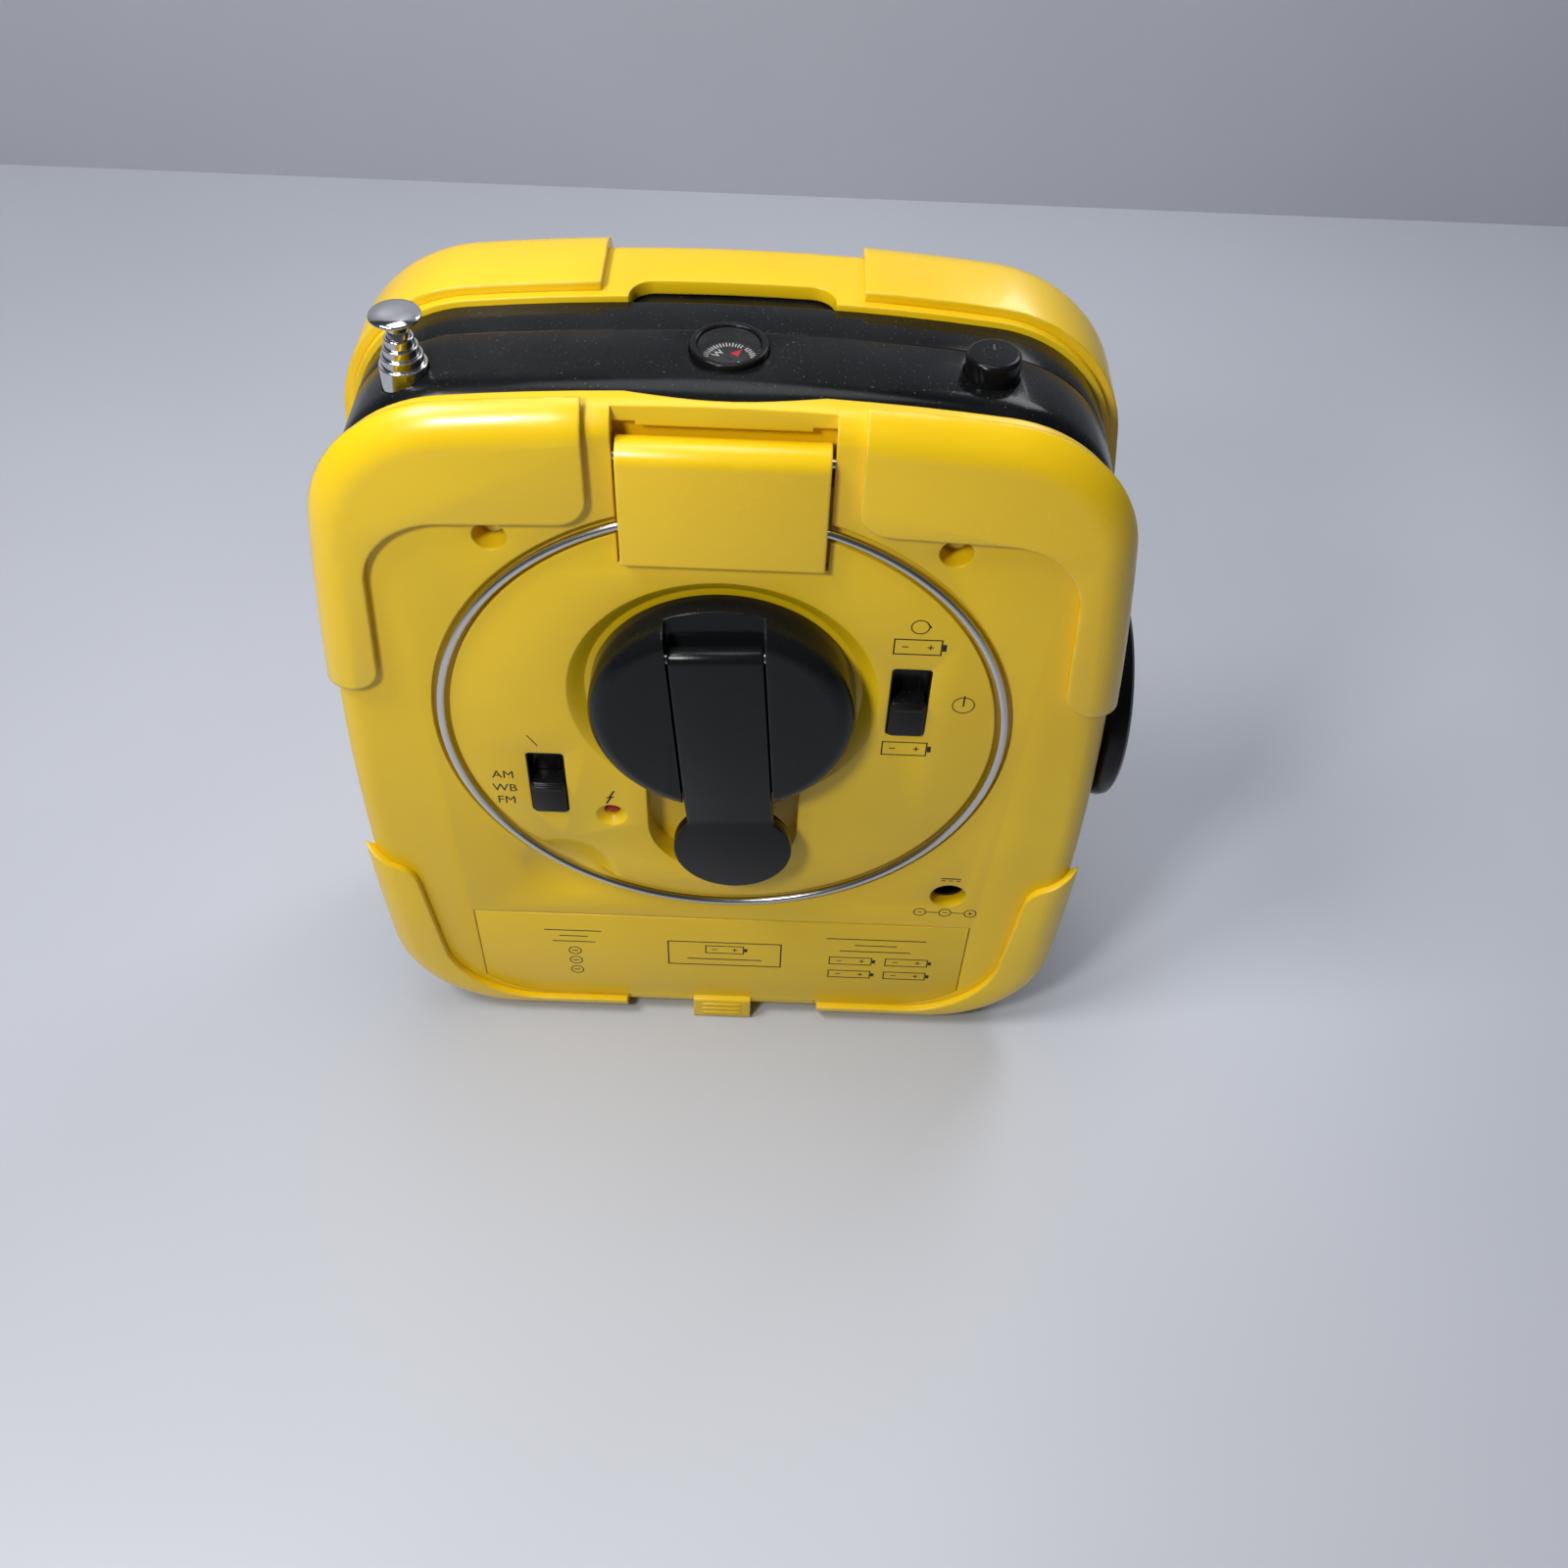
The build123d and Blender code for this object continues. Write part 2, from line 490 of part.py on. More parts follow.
# ---------------------------------------------------------------- front shell
board_posts = [(12.0, 60.0), (46.0, 60.0), (12.0, 122.0), (46.0, 93.0)]
with BuildPart() as front_shell:
    add(front_form(0, FRONT_RIM))
    with BuildSketch(facing_back(FRONT_FACE - FRONT_WALL)):
        add(outline(-SIDE_WALL))
    extrude(amount=FRONT_FACE - FRONT_WALL - FRONT_RIM, mode=Mode.SUBTRACT)
    # screw pillars that reach back to the rear shell's bosses
    with BuildSketch(facing_back(FRONT_FACE - FRONT_WALL)):
        with Locations(*screw_places):
            Circle(3.5)
    extrude(amount=FRONT_FACE - FRONT_WALL - BOSS_END)
    # posts of the main board and saddles of the ferrite rod
    with BuildSketch(facing_back(FRONT_FACE - FRONT_WALL)):
        with Locations(*board_posts):
            Circle(2.0)
    extrude(amount=FRONT_FACE - FRONT_WALL - BOARD_DEPTH[1])
    with BuildSketch(facing_back(FRONT_FACE - FRONT_WALL)):
        with Locations((-30, ROD_LEVEL), (20, ROD_LEVEL)):
            Rectangle(4, 8)
    extrude(amount=FRONT_FACE - FRONT_WALL - ROD_DEPTH - ROD_RADIUS)
    # finger scoop in the top rim
    with BuildSketch(facing_up(CASE_TOP - 8, 0, FRONT_RIM)):
        RectangleRounded(33, 9, 4)
    extrude(amount=20, mode=Mode.SUBTRACT)
    # screw bores
    with BuildSketch(facing_back(3)):
        with Locations(*screw_places):
            Circle(SCREW_RADIUS)
    extrude(amount=CASE_DEPTH, mode=Mode.SUBTRACT)
    # speaker opening and the grille's seat
    with BuildSketch(facing_back(FRONT_FACE + 1)):
        with Locations(SPEAKER_PLACE):
            Circle(SPEAKER_RADIUS - 1.5)
    extrude(amount=FRONT_WALL + 1, mode=Mode.SUBTRACT)
    with BuildSketch(facing_back(FRONT_FACE + 1)):
        with Locations(SPEAKER_PLACE):
            Circle(GRILLE_RADIUS)
    extrude(amount=GRILLE_SEAT + 1, mode=Mode.SUBTRACT)
    # shaft holes, key holes, clock and dial openings
    with BuildSketch(facing_back(FRONT_FACE + 1)):
        with Locations(TUNING_PLACE, VOLUME_PLACE):
            Circle(KNOB_SHAFT + 0.3)
        with Locations(*KEY_PLACES):
            Circle(KEY_RADIUS + 0.15)
        with Locations(CLOCK_PLACE):
            RectangleRounded(*CLOCK_SIZE, 1.5)
        with Locations((TUNING_PLACE[0], DIAL_LEVEL)):
            RectangleRounded(*DIAL_SIZE, 1.0)
    extrude(amount=FRONT_WALL + 1, mode=Mode.SUBTRACT)
    # round seat of the torch in the right wall
    with BuildSketch(facing_right(TORCH_BACK, TORCH_DEPTH, TORCH_LEVEL)):
        Circle(TORCH_TUBE + TORCH_GAP)
    extrude(amount=CASE_DEPTH, mode=Mode.SUBTRACT)
front_shell.part.label = "front_shell"
export_step(front_shell.part, "parts/front_shell.step")

# ---------------------------------------------------------------- black band in two halves
compass_floor = COMPASS_TOP - COMPASS_DEEP
with BuildPart() as mid_band_rear:
    add(slab(-BAND_SET_IN, BAND_SPLIT, REAR_RIM))
    fillet(mid_band_rear.edges().group_by(Axis.Y)[0], BAND_SHOULDER)
    with BuildSketch(facing_back(BAND_SPLIT)):
        add(outline(-BAND_END - RING_WALL))
    extrude(amount=BAND_SPLIT - REAR_RIM, mode=Mode.SUBTRACT)
    with BuildSketch(facing_back(BAND_SPLIT)):
        add(outline(-BAND_SET_IN - BAND_WALL))
    extrude(amount=BAND_SPLIT - REAR_RIM - BAND_SHOULDER - 1.4, mode=Mode.SUBTRACT)
    with BuildSketch(facing_up(compass_floor - 1.8, 0, COMPASS_Y)):
        Circle(COMPASS_RADIUS + 2)
        with Locations((0, BAND_SPLIT - COMPASS_Y)):
            Rectangle(30, 30, align=(Align.CENTER, Align.MAX), mode=Mode.INTERSECT)
    extrude(amount=5.2)
    with BuildSketch(facing_up(compass_floor, 0, COMPASS_Y)):
        Circle(COMPASS_RADIUS + 0.1)
    extrude(amount=20, mode=Mode.SUBTRACT)
    with BuildSketch(facing_up(CASE_TOP - 50, 0, 0)):
        with Locations((ANTENNA_X, ANTENNA_Y)):
            Circle(ANTENNA_RADIUS + 0.1)
        with Locations((POWER_X, POWER_Y)):
            Circle(POWER_RADIUS + 0.15)
    extrude(amount=70, mode=Mode.SUBTRACT)
    with BuildSketch(facing_right(TORCH_BACK, TORCH_DEPTH, TORCH_LEVEL)):
        Circle(TORCH_TUBE + TORCH_GAP)
    extrude(amount=CASE_DEPTH, mode=Mode.SUBTRACT)
mid_band_rear.part.label = "mid_band_rear"
export_step(mid_band_rear.part, "parts/mid_band_rear.step")

tongue_out = SIDE_WALL + LAP_GAP
with BuildPart() as mid_band_front:
    add(slab(-BAND_SET_IN, FRONT_RIM, BAND_SPLIT))
    add(slab(-tongue_out, FRONT_RIM + BAND_TONGUE, FRONT_RIM - 3))
    add(slab(-BAND_SET_IN - BAND_WALL, FRONT_RIM, BAND_SPLIT), mode=Mode.SUBTRACT)
    add(slab(-tongue_out - 2, FRONT_RIM + BAND_TONGUE, BAND_SPLIT), mode=Mode.SUBTRACT)
    with BuildSketch(facing_up(compass_floor - 1.8, 0, COMPASS_Y)):
        Circle(COMPASS_RADIUS + 2)
        with Locations((0, BAND_SPLIT - COMPASS_Y)):
            Rectangle(30, 30, align=(Align.CENTER, Align.MIN), mode=Mode.INTERSECT)
    extrude(amount=5.2)
    with BuildSketch(facing_up(compass_floor, 0, COMPASS_Y)):
        Circle(COMPASS_RADIUS + 0.1)
    extrude(amount=20, mode=Mode.SUBTRACT)
    with BuildSketch(facing_right(TORCH_BACK, TORCH_DEPTH, TORCH_LEVEL)):
        Circle(TORCH_TUBE + TORCH_GAP)
    extrude(amount=CASE_DEPTH, mode=Mode.SUBTRACT)
mid_band_front.part.label = "mid_band_front"
export_step(mid_band_front.part, "parts/mid_band_front.step")

# ---------------------------------------------------------------- corner bumpers
for side, side_name in ((-1, "left"), (1, "right")):
    for top, end_name in ((True, "top"), (False, "base")):
        with BuildPart() as rear_bumper:
            add(rear_form(BUMPER_PROUD, REAR_RIM))
            add(rear_form(0, REAR_RIM), mode=Mode.SUBTRACT)
            with BuildSketch(facing_back(REAR_RIM - BUMPER_LIP)):
                add(bumper_region(side, top))
            extrude(amount=CASE_DEPTH, mode=Mode.INTERSECT)
        name = f"rear_bumper_{end_name}_{side_name}"
        rear_bumper.part.label = name
        export_step(rear_bumper.part, f"parts/{name}.step")
        with BuildPart() as front_bumper:
            add(front_form(BUMPER_PROUD, FRONT_RIM))
            add(front_form(0, FRONT_RIM), mode=Mode.SUBTRACT)
            with BuildSketch(facing_back(FRONT_RIM + BUMPER_FRONT_LIP)):
                add(bumper_region(side, top))
            extrude(amount=-CASE_DEPTH, mode=Mode.INTERSECT)
        name = f"front_bumper_{end_name}_{side_name}"
        front_bumper.part.label = name
        export_step(front_bumper.part, f"parts/{name}.step")

# ---------------------------------------------------------------- screws and battery door
with BuildPart() as case_screws:
    with BuildSketch(facing_back(REAR_FACE + DIMPLE_DEPTH)):
        with Locations(*screw_places):
            Circle(DIMPLE_RADIUS - 0.4)
    extrude(amount=SCREW_HEAD)
    with BuildSketch(facing_back(2)):
        with Locations(*screw_places):
            Circle(SCREW_RADIUS)
    extrude(amount=2 - REAR_FACE - DIMPLE_DEPTH)
case_screws.part.label = "case_screws"
export_step(case_screws.part, "parts/case_screws.step")

with BuildPart() as battery_door:
    add(rear_form(0, REAR_RIM))
    with BuildSketch(facing_back(REAR_FACE + DOOR_THICK)):
        add(door_outline(0))
    extrude(amount=CASE_DEPTH, mode=Mode.INTERSECT)
    with BuildSketch(facing_back(REAR_FACE + DOOR_THICK + 1)):
        with Locations((0, 3.6)):
            Rectangle(2 * TAB_HALF, 6.8)
    extrude(amount=DOOR_THICK + 1 + TAB_PROUD)
    fillet(battery_door.edges().filter_by(Axis.X).group_by(Axis.Y)[0], 0.6)
battery_door.part.label = "battery_door"
export_step(battery_door.part, "parts/battery_door.step")

# ---------------------------------------------------------------- bail bracket, pin and ring
chord_half = BRACKET_HALF + 0.4
chord_level = RING_LEVEL + sqrt(RING_RADIUS ** 2 - chord_half ** 2)
with BuildPart() as bail_bracket:
    with BuildSketch(facing_right(-BRACKET_HALF)):
        with Locations((BRACKET_PIN_DEPTH, BRACKET_PIN_LEVEL)):
            Circle(BRACKET_BARREL)
        with Locations((BRACKET_PIN_DEPTH - BRACKET_BARREL, BRACKET_BASE)):
            Rectangle(
                BRACKET_THICK, BRACKET_PIN_LEVEL - BRACKET_BASE,
                align=(Align.MIN, Align.MIN))
    extrude(amount=2 * BRACKET_HALF)
    fillet(bail_bracket.edges().filter_by(Axis.X).group_by(Axis.Z)[0], 0.8)
    with BuildSketch(facing_right(-BRACKET_HALF)):
        with Locations((BRACKET_PIN_DEPTH, BRACKET_PIN_LEVEL)):
            Circle(BRACKET_PIN_RADIUS + RUNNING)
        with Locations((RING_DEPTH, chord_level)):
            Circle(WIRE_RADIUS + RUNNING)
    extrude(amount=2 * BRACKET_HALF, mode=Mode.SUBTRACT)
bail_bracket.part.label = "bail_bracket"
export_step(bail_bracket.part, "parts/bail_bracket.step")

with BuildPart() as bracket_pin:
    with BuildSketch(facing_right(-BRACKET_HALF - BRACKET_PIN_END, BRACKET_PIN_DEPTH,
                                  BRACKET_PIN_LEVEL)):
        Circle(BRACKET_PIN_RADIUS)
    extrude(amount=2 * (BRACKET_HALF + BRACKET_PIN_END))
bracket_pin.part.label = "bracket_pin"
export_step(bracket_pin.part, "parts/bracket_pin.step")

with BuildPart() as bail_ring:
    with BuildLine(facing_back(RING_DEPTH)) as ring_path:
        ThreePointArc(
            (chord_half, chord_level), (0, RING_LEVEL - RING_RADIUS), (-chord_half, chord_level))
    with BuildSketch(Plane(ring_path.line @ 0, z_dir=ring_path.line % 0)):
        Circle(WIRE_RADIUS)
    sweep()
    with BuildSketch(facing_right(-chord_half, RING_DEPTH, chord_level)):
        Circle(WIRE_RADIUS)
    extrude(amount=2 * chord_half)
    with Locations(
            facing_right(-chord_half, RING_DEPTH, chord_level),
            facing_right(chord_half, RING_DEPTH, chord_level)):
        Sphere(WIRE_RADIUS)
bail_ring.part.label = "bail_ring"
export_step(bail_ring.part, "parts/bail_ring.step")

# ---------------------------------------------------------------- crank
arm_side_plane = Plane(
    origin=crank_plane.origin, x_dir=crank_plane.y_dir, z_dir=crank_plane.x_dir)
slot_floor = ARM_LIFT - ARM_FLOOR_GAP
shaft_seat = slot_floor - 1.4
with BuildPart() as crank_drum:
    with BuildSketch(crank_plane.offset(drum_back)):
        Circle(DRUM_RADIUS)
    extrude(amount=DRUM_PROUD - drum_back)
    fillet(crank_drum.edges().group_by(Axis.Y)[0], DRUM_ROUND)
    with BuildSketch(crank_plane.offset(slot_floor)):
        Rectangle(ARM_WIDTH + 2 * ARM_SIDE_GAP, 3 * DRUM_RADIUS)
    extrude(amount=DRUM_PROUD, mode=Mode.SUBTRACT)
    with BuildSketch(crank_plane.offset(drum_back)):
        Circle(SHAFT_RADIUS)
    extrude(amount=shaft_seat - drum_back, mode=Mode.SUBTRACT)
    with BuildSketch(arm_side_plane.offset(-HINGE_PIN_HALF)):
        with Locations((HINGE_UP, hinge_height)):
            Circle(HINGE_PIN_RADIUS)
    extrude(amount=2 * HINGE_PIN_HALF, mode=Mode.SUBTRACT)
crank_drum.part.label = "crank_drum"
export_step(crank_drum.part, "parts/crank_drum.step")

with BuildPart() as crank_hinge_pin:
    with BuildSketch(arm_side_plane.offset(-HINGE_PIN_HALF)):
        with Locations((HINGE_UP, hinge_height)):
            Circle(HINGE_PIN_RADIUS)
    extrude(amount=2 * HINGE_PIN_HALF)
crank_hinge_pin.part.label = "crank_hinge_pin"
export_step(crank_hinge_pin.part, "parts/crank_hinge_pin.step")

paddle_top = ARM_LIFT + PADDLE_THICK
with BuildPart() as crank_arm:
    with BuildSketch(arm_side_plane.offset(-ARM_WIDTH / 2)):
        with BuildLine():
            ThreePointArc(
                (HINGE_UP, ARM_LIFT), (HINGE_UP + barrel_radius, hinge_height),
                (HINGE_UP, DRUM_PROUD))
            Polyline(
                (HINGE_UP, DRUM_PROUD), (-STEP_START, DRUM_PROUD), (-STEP_END, paddle_top),
                (-PADDLE_DOWN, paddle_top), (-PADDLE_DOWN, ARM_LIFT), (HINGE_UP, ARM_LIFT))
        make_face()
    extrude(amount=ARM_WIDTH)
    with BuildSketch(crank_plane.offset(ARM_LIFT)):
        with Locations((0, -PADDLE_DOWN)):
            Circle(PADDLE_RADIUS)
    extrude(amount=PADDLE_THICK)
    with BuildSketch(crank_plane.offset(ARM_LIFT)):
        with Locations((0, -PADDLE_DOWN)):
            Circle(KNOB_RADIUS + 0.3)
    extrude(amount=KNOB_THICK - KNOB_DROP, mode=Mode.SUBTRACT)
    with BuildSketch(crank_plane.offset(ARM_LIFT)):
        with Locations((0, -PADDLE_DOWN)):
            Circle(KNOB_STEM + RUNNING)
    extrude(amount=PADDLE_THICK - 0.4, mode=Mode.SUBTRACT)
    with BuildSketch(arm_side_plane.offset(-ARM_WIDTH / 2)):
        with Locations((HINGE_UP, hinge_height)):
            Circle(HINGE_PIN_RADIUS + RUNNING)
    extrude(amount=ARM_WIDTH, mode=Mode.SUBTRACT)
crank_arm.part.label = "crank_arm"
export_step(crank_arm.part, "parts/crank_arm.step")

with BuildPart() as crank_knob:
    with BuildSketch(crank_plane.offset(ARM_LIFT - KNOB_DROP)):
        with Locations((0, -PADDLE_DOWN)):
            Circle(KNOB_RADIUS)
    extrude(amount=KNOB_THICK - 0.1)
    with BuildSketch(crank_plane.offset(ARM_LIFT)):
        with Locations((0, -PADDLE_DOWN)):
            Circle(KNOB_STEM)
    extrude(amount=PADDLE_THICK - 0.5)
    with BuildSketch(crank_plane.offset(ARM_LIFT - KNOB_DROP)):
        with Locations((0, -PADDLE_DOWN)):
            Circle(KNOB_RADIUS - 1.4)
    extrude(amount=0.9, taper=30, mode=Mode.SUBTRACT)
crank_knob.part.label = "crank_knob"
export_step(crank_knob.part, "parts/crank_knob.step")


# ---------------------------------------------------------------- gear train and generator
def involute(angle):
    return tan(angle) - angle


def gear_profile(teeth, turn):
    """A spur gear's outline with involute flanks; one tooth points at turn degrees."""
    pitch = GEAR_MODULE * teeth / 2
    base = pitch * cos(radians(GEAR_ANGLE))
    tip = pitch + 0.8 * GEAR_MODULE
    root = pitch - 1.1 * GEAR_MODULE
    start = max(base, root)
    half_tooth = pi / (2 * teeth) + involute(radians(GEAR_ANGLE)) - GEAR_BACKLASH / (2 * pitch)
    flank = []
    if start > root:
        flank.append((root, half_tooth))
    for step in range(5):
        radius = start + (tip - start) * step / 4
        roll = 0 if radius <= base else sqrt((radius / base) ** 2 - 1)
        flank.append((radius, half_tooth - involute_at(roll)))
    points = []
    for tooth in range(teeth):
        middle = radians(turn) + 2 * pi * tooth / teeth
        points += [polar(radius, middle - offset) for radius, offset in flank]
        points += [polar(radius, middle + offset) for radius, offset in reversed(flank)]
    with BuildSketch() as gear:
        with BuildLine():
            Polyline(*points, close=True)
        make_face()
    return gear.sketch


def polar(radius, angle):
    return (radius * cos(angle), radius * sin(angle))


def involute_at(roll):
    """The involute function of the pressure angle whose tangent is roll."""
    return roll - atan(roll)


def mesh_distance(teeth_a, teeth_b):
    return GEAR_MODULE * (teeth_a + teeth_b) / 2


idler_step = polar(mesh_distance(CRANK_TEETH, IDLER_PINION_TEETH), radians(IDLER_BEARING))
idler_place = (idler_step[0], CRANK_LEVEL + idler_step[1])
rotor_step = polar(
    mesh_distance(IDLER_WHEEL_TEETH, GENERATOR_TEETH), radians(GENERATOR_BEARING))
rotor_place = (idler_place[0] + rotor_step[0], idler_place[1] + rotor_step[1])

with BuildPart() as crank_gear:
    with BuildSketch(facing_back(FIRST_MESH[1], 0, CRANK_LEVEL)):
        add(gear_profile(CRANK_TEETH, IDLER_BEARING))
    extrude(amount=FIRST_MESH[1] - FIRST_MESH[0])
    with BuildSketch(facing_back(PLATE_DEPTH[1], 0, CRANK_LEVEL)):
        Circle(SHAFT_RADIUS)
    extrude(amount=PLATE_DEPTH[1] - REAR_FACE + shaft_seat)
crank_gear.part.label = "crank_gear"
export_step(crank_gear.part, "parts/crank_gear.step")

with BuildPart() as idler_gear:
    with BuildSketch(facing_back(FIRST_MESH[1], *idler_place)):
        add(gear_profile(IDLER_PINION_TEETH, IDLER_BEARING + 180 + 180 / IDLER_PINION_TEETH))
    extrude(amount=FIRST_MESH[1] - FIRST_MESH[0])
    with BuildSketch(facing_back(SECOND_MESH[1], *idler_place)):
        add(gear_profile(IDLER_WHEEL_TEETH, GENERATOR_BEARING))
    extrude(amount=SECOND_MESH[1] - SECOND_MESH[0])
    with BuildSketch(facing_back(SECOND_MESH[0], *idler_place)):
        Circle(AXLE_RADIUS + 2)
    extrude(amount=SECOND_MESH[0] - FIRST_MESH[1])
    with BuildSketch(facing_back(SECOND_MESH[1], *idler_place)):
        Circle(AXLE_RADIUS + RUNNING)
    extrude(amount=SECOND_MESH[1] - FIRST_MESH[0], mode=Mode.SUBTRACT)
idler_gear.part.label = "idler_gear"
export_step(idler_gear.part, "parts/idler_gear.step")

with BuildPart() as generator_pinion:
    with BuildSketch(facing_back(SECOND_MESH[1], *rotor_place)):
        add(gear_profile(GENERATOR_TEETH, GENERATOR_BEARING + 180 + 180 / GENERATOR_TEETH))
    extrude(amount=SECOND_MESH[1] - SECOND_MESH[0])
    with BuildSketch(facing_back(PLATE_DEPTH[1] + 10, *rotor_place)):
        Circle(ROTOR_RADIUS)
    extrude(amount=PLATE_DEPTH[1] + 10 - SECOND_MESH[0] + 0.6)
generator_pinion.part.label = "generator_pinion"
export_step(generator_pinion.part, "parts/generator_pinion.step")

# The generator hangs on a plate with posts; the plate also holds the idler's axle
with BuildPart() as generator:
    with BuildSketch(facing_back(PLATE_DEPTH[1])):
        with Locations(*PLATE_POSTS):
            Circle(4.0)
        with Locations(rotor_place):
            Circle(GENERATOR_RADIUS + 1.5)
        with Locations(idler_place, (0, CRANK_LEVEL)):
            Circle(6.0)
        make_hull()
    extrude(amount=PLATE_DEPTH[1] - PLATE_DEPTH[0])
    with BuildSketch(facing_back(PLATE_DEPTH[1] + GENERATOR_LENGTH)):
        with Locations(rotor_place):
            Circle(GENERATOR_RADIUS)
    extrude(amount=GENERATOR_LENGTH)
    with BuildSketch(facing_back(PLATE_DEPTH[0])):
        with Locations(idler_place):
            Circle(AXLE_RADIUS)
    extrude(amount=PLATE_DEPTH[0] - FIRST_MESH[0] + 0.8)
    with BuildSketch(facing_back(PLATE_DEPTH[0])):
        with Locations(PLATE_POSTS[0]):
            Circle(2.2)
    extrude(amount=PLATE_DEPTH[0] - REAR_FACE - REAR_WALL)
    with BuildSketch(facing_back(PLATE_DEPTH[0])):
        with Locations(*PLATE_POSTS[1:]):
            Circle(2.2)
    extrude(amount=PLATE_DEPTH[0] - REAR_RIM)
    with BuildSketch(facing_back(PLATE_DEPTH[1])):
        with Locations((0, CRANK_LEVEL)):
            Circle(SHAFT_RADIUS + RUNNING)
    extrude(amount=CASE_DEPTH, mode=Mode.SUBTRACT)
    with BuildSketch(facing_back(PLATE_DEPTH[1] + 10.5)):
        with Locations(rotor_place):
            Circle(ROTOR_RADIUS + RUNNING)
    extrude(amount=CASE_DEPTH, mode=Mode.SUBTRACT)
generator.part.label = "generator"
export_step(generator.part, "parts/generator.step")

# ---------------------------------------------------------------- slide switches
slider_travel = SLOT_LENGTH - SLIDER_LENGTH - 2 * SLIDER_GAP
for name, place in (("band", BAND_SWITCH), ("source", SOURCE_SWITCH)):
    slider_level = place[1] - slider_travel / 2
    with BuildPart() as slider:
        with BuildSketch(facing_back(REAR_FACE + REAR_WALL - 0.2, place[0], slider_level)):
            RectangleRounded(SLOT_WIDTH - 2 * SLIDER_GAP, SLIDER_LENGTH, 0.6)
        extrude(amount=REAR_WALL - 0.8)
        with BuildSketch(facing_back(REAR_FACE + REAR_WALL + 3, place[0], slider_level)):
            Rectangle(SWITCH_STEM, SWITCH_STEM)
        extrude(amount=3.4)
    slider.part.label = f"{name}_slider"
    export_step(slider.part, f"parts/{name}_slider.step")
    with BuildPart() as switch:
        with BuildSketch(facing_back(REAR_FACE + REAR_WALL + 5, *place)):
            Rectangle(SWITCH_WIDTH, SLOT_LENGTH + 4)
        extrude(amount=5)
        with BuildSketch(facing_back(REAR_FACE + REAR_WALL + 3.4, *place)):
            Rectangle(SWITCH_STEM + 0.6, SWITCH_STEM + slider_travel + 0.8)
        extrude(amount=5, mode=Mode.SUBTRACT)
    switch.part.label = f"{name}_switch"
    export_step(switch.part, f"parts/{name}_switch.step")

# ---------------------------------------------------------------- light and power socket
with BuildPart() as charging_led:
    with BuildSketch(facing_back(REAR_FACE + 8, *LED_PLACE)):
        Circle(1.5)
    extrude(amount=6.6)
    fillet(charging_led.edges().group_by(Axis.Y)[0], 1.2)
charging_led.part.label = "charging_led"
export_step(charging_led.part, "parts/charging_led.step")

with BuildPart() as dc_jack:
    with BuildSketch(facing_back(REAR_FACE + REAR_WALL + 11, *JACK_PLACE)):
        Rectangle(9, 9)
    extrude(amount=11)
    with BuildSketch(facing_back(REAR_FACE + REAR_WALL + 9.5, *JACK_PLACE)):
        Circle(JACK_RADIUS - 0.5)
    extrude(amount=9.5, mode=Mode.SUBTRACT)
    with BuildSketch(facing_back(REAR_FACE + REAR_WALL + 9.5, *JACK_PLACE)):
        Circle(0.9)
    extrude(amount=9.0)
dc_jack.part.label = "dc_jack"
export_step(dc_jack.part, "parts/dc_jack.step")

# ---------------------------------------------------------------- batteries
bay_middle = (BAY_BASE + BAY_TOP) / 2
cell_row = REAR_FACE + 9.5
cell_places = [
    (cell_row, BAY_BASE + 5.4), (cell_row, BAY_BASE + 5.4 + 2 * CELL_RADIUS + 0.3),
    (cell_row + 9.9, BAY_BASE + 10.8)]
with BuildPart() as dry_cells:
    with BuildSketch(facing_right(-2)):
        with Locations(*cell_places):
            Circle(CELL_RADIUS)
    extrude(amount=CELL_LENGTH - 1)
    with BuildSketch(facing_right(-2)):
        with Locations(*cell_places):
            Circle(1.9)
    extrude(amount=CELL_LENGTH)
dry_cells.part.label = "dry_cells"
export_step(dry_cells.part, "parts/dry_cells.step")

with BuildPart() as rechargeable_pack:
    with BuildSketch(facing_right(-33)):
        with Locations(*cell_places):
            Circle(CELL_RADIUS - 0.2)
        make_hull()
    extrude(amount=28)
    fillet(rechargeable_pack.edges().filter_by(GeomType.CIRCLE), 0.8)
rechargeable_pack.part.label = "rechargeable_pack"
export_step(rechargeable_pack.part, "parts/rechargeable_pack.step")

with BuildPart() as button_cell:
    with BuildSketch(facing_right(-41, REAR_FACE + 11, bay_middle)):
        Circle(5.8)
    extrude(amount=5.4)
button_cell.part.label = "button_cell"
export_step(button_cell.part, "parts/button_cell.step")

with BuildPart() as battery_contacts:
    for x in (BAY_HALF - 1, -3.2, -BAY_HALF + 0.3):
        with BuildSketch(facing_right(x, REAR_FACE + 14.5, bay_middle)):
            Rectangle(19, BAY_TOP - BAY_BASE - 1)
        extrude(amount=0.8)
battery_contacts.part.label = "battery_contacts"
export_step(battery_contacts.part, "parts/battery_contacts.step")

# ---------------------------------------------------------------- compass
with BuildPart() as compass_housing:
    with BuildSketch(facing_up(compass_floor, 0, COMPASS_Y)):
        Circle(COMPASS_RADIUS)
    extrude(amount=COMPASS_DEEP)
    with BuildSketch(facing_up(compass_floor + 1.4, 0, COMPASS_Y)):
        Circle(COMPASS_WINDOW)
    extrude(amount=COMPASS_DEEP, mode=Mode.SUBTRACT)
    with BuildSketch(facing_up(compass_floor + 1.4, 0, COMPASS_Y)):
        Circle(COMPASS_PIVOT)
    extrude(amount=2.0)
    fillet(compass_housing.edges().group_by(Axis.Z)[-1], 0.4)
compass_housing.part.label = "compass_housing"
export_step(compass_housing.part, "parts/compass_housing.step")

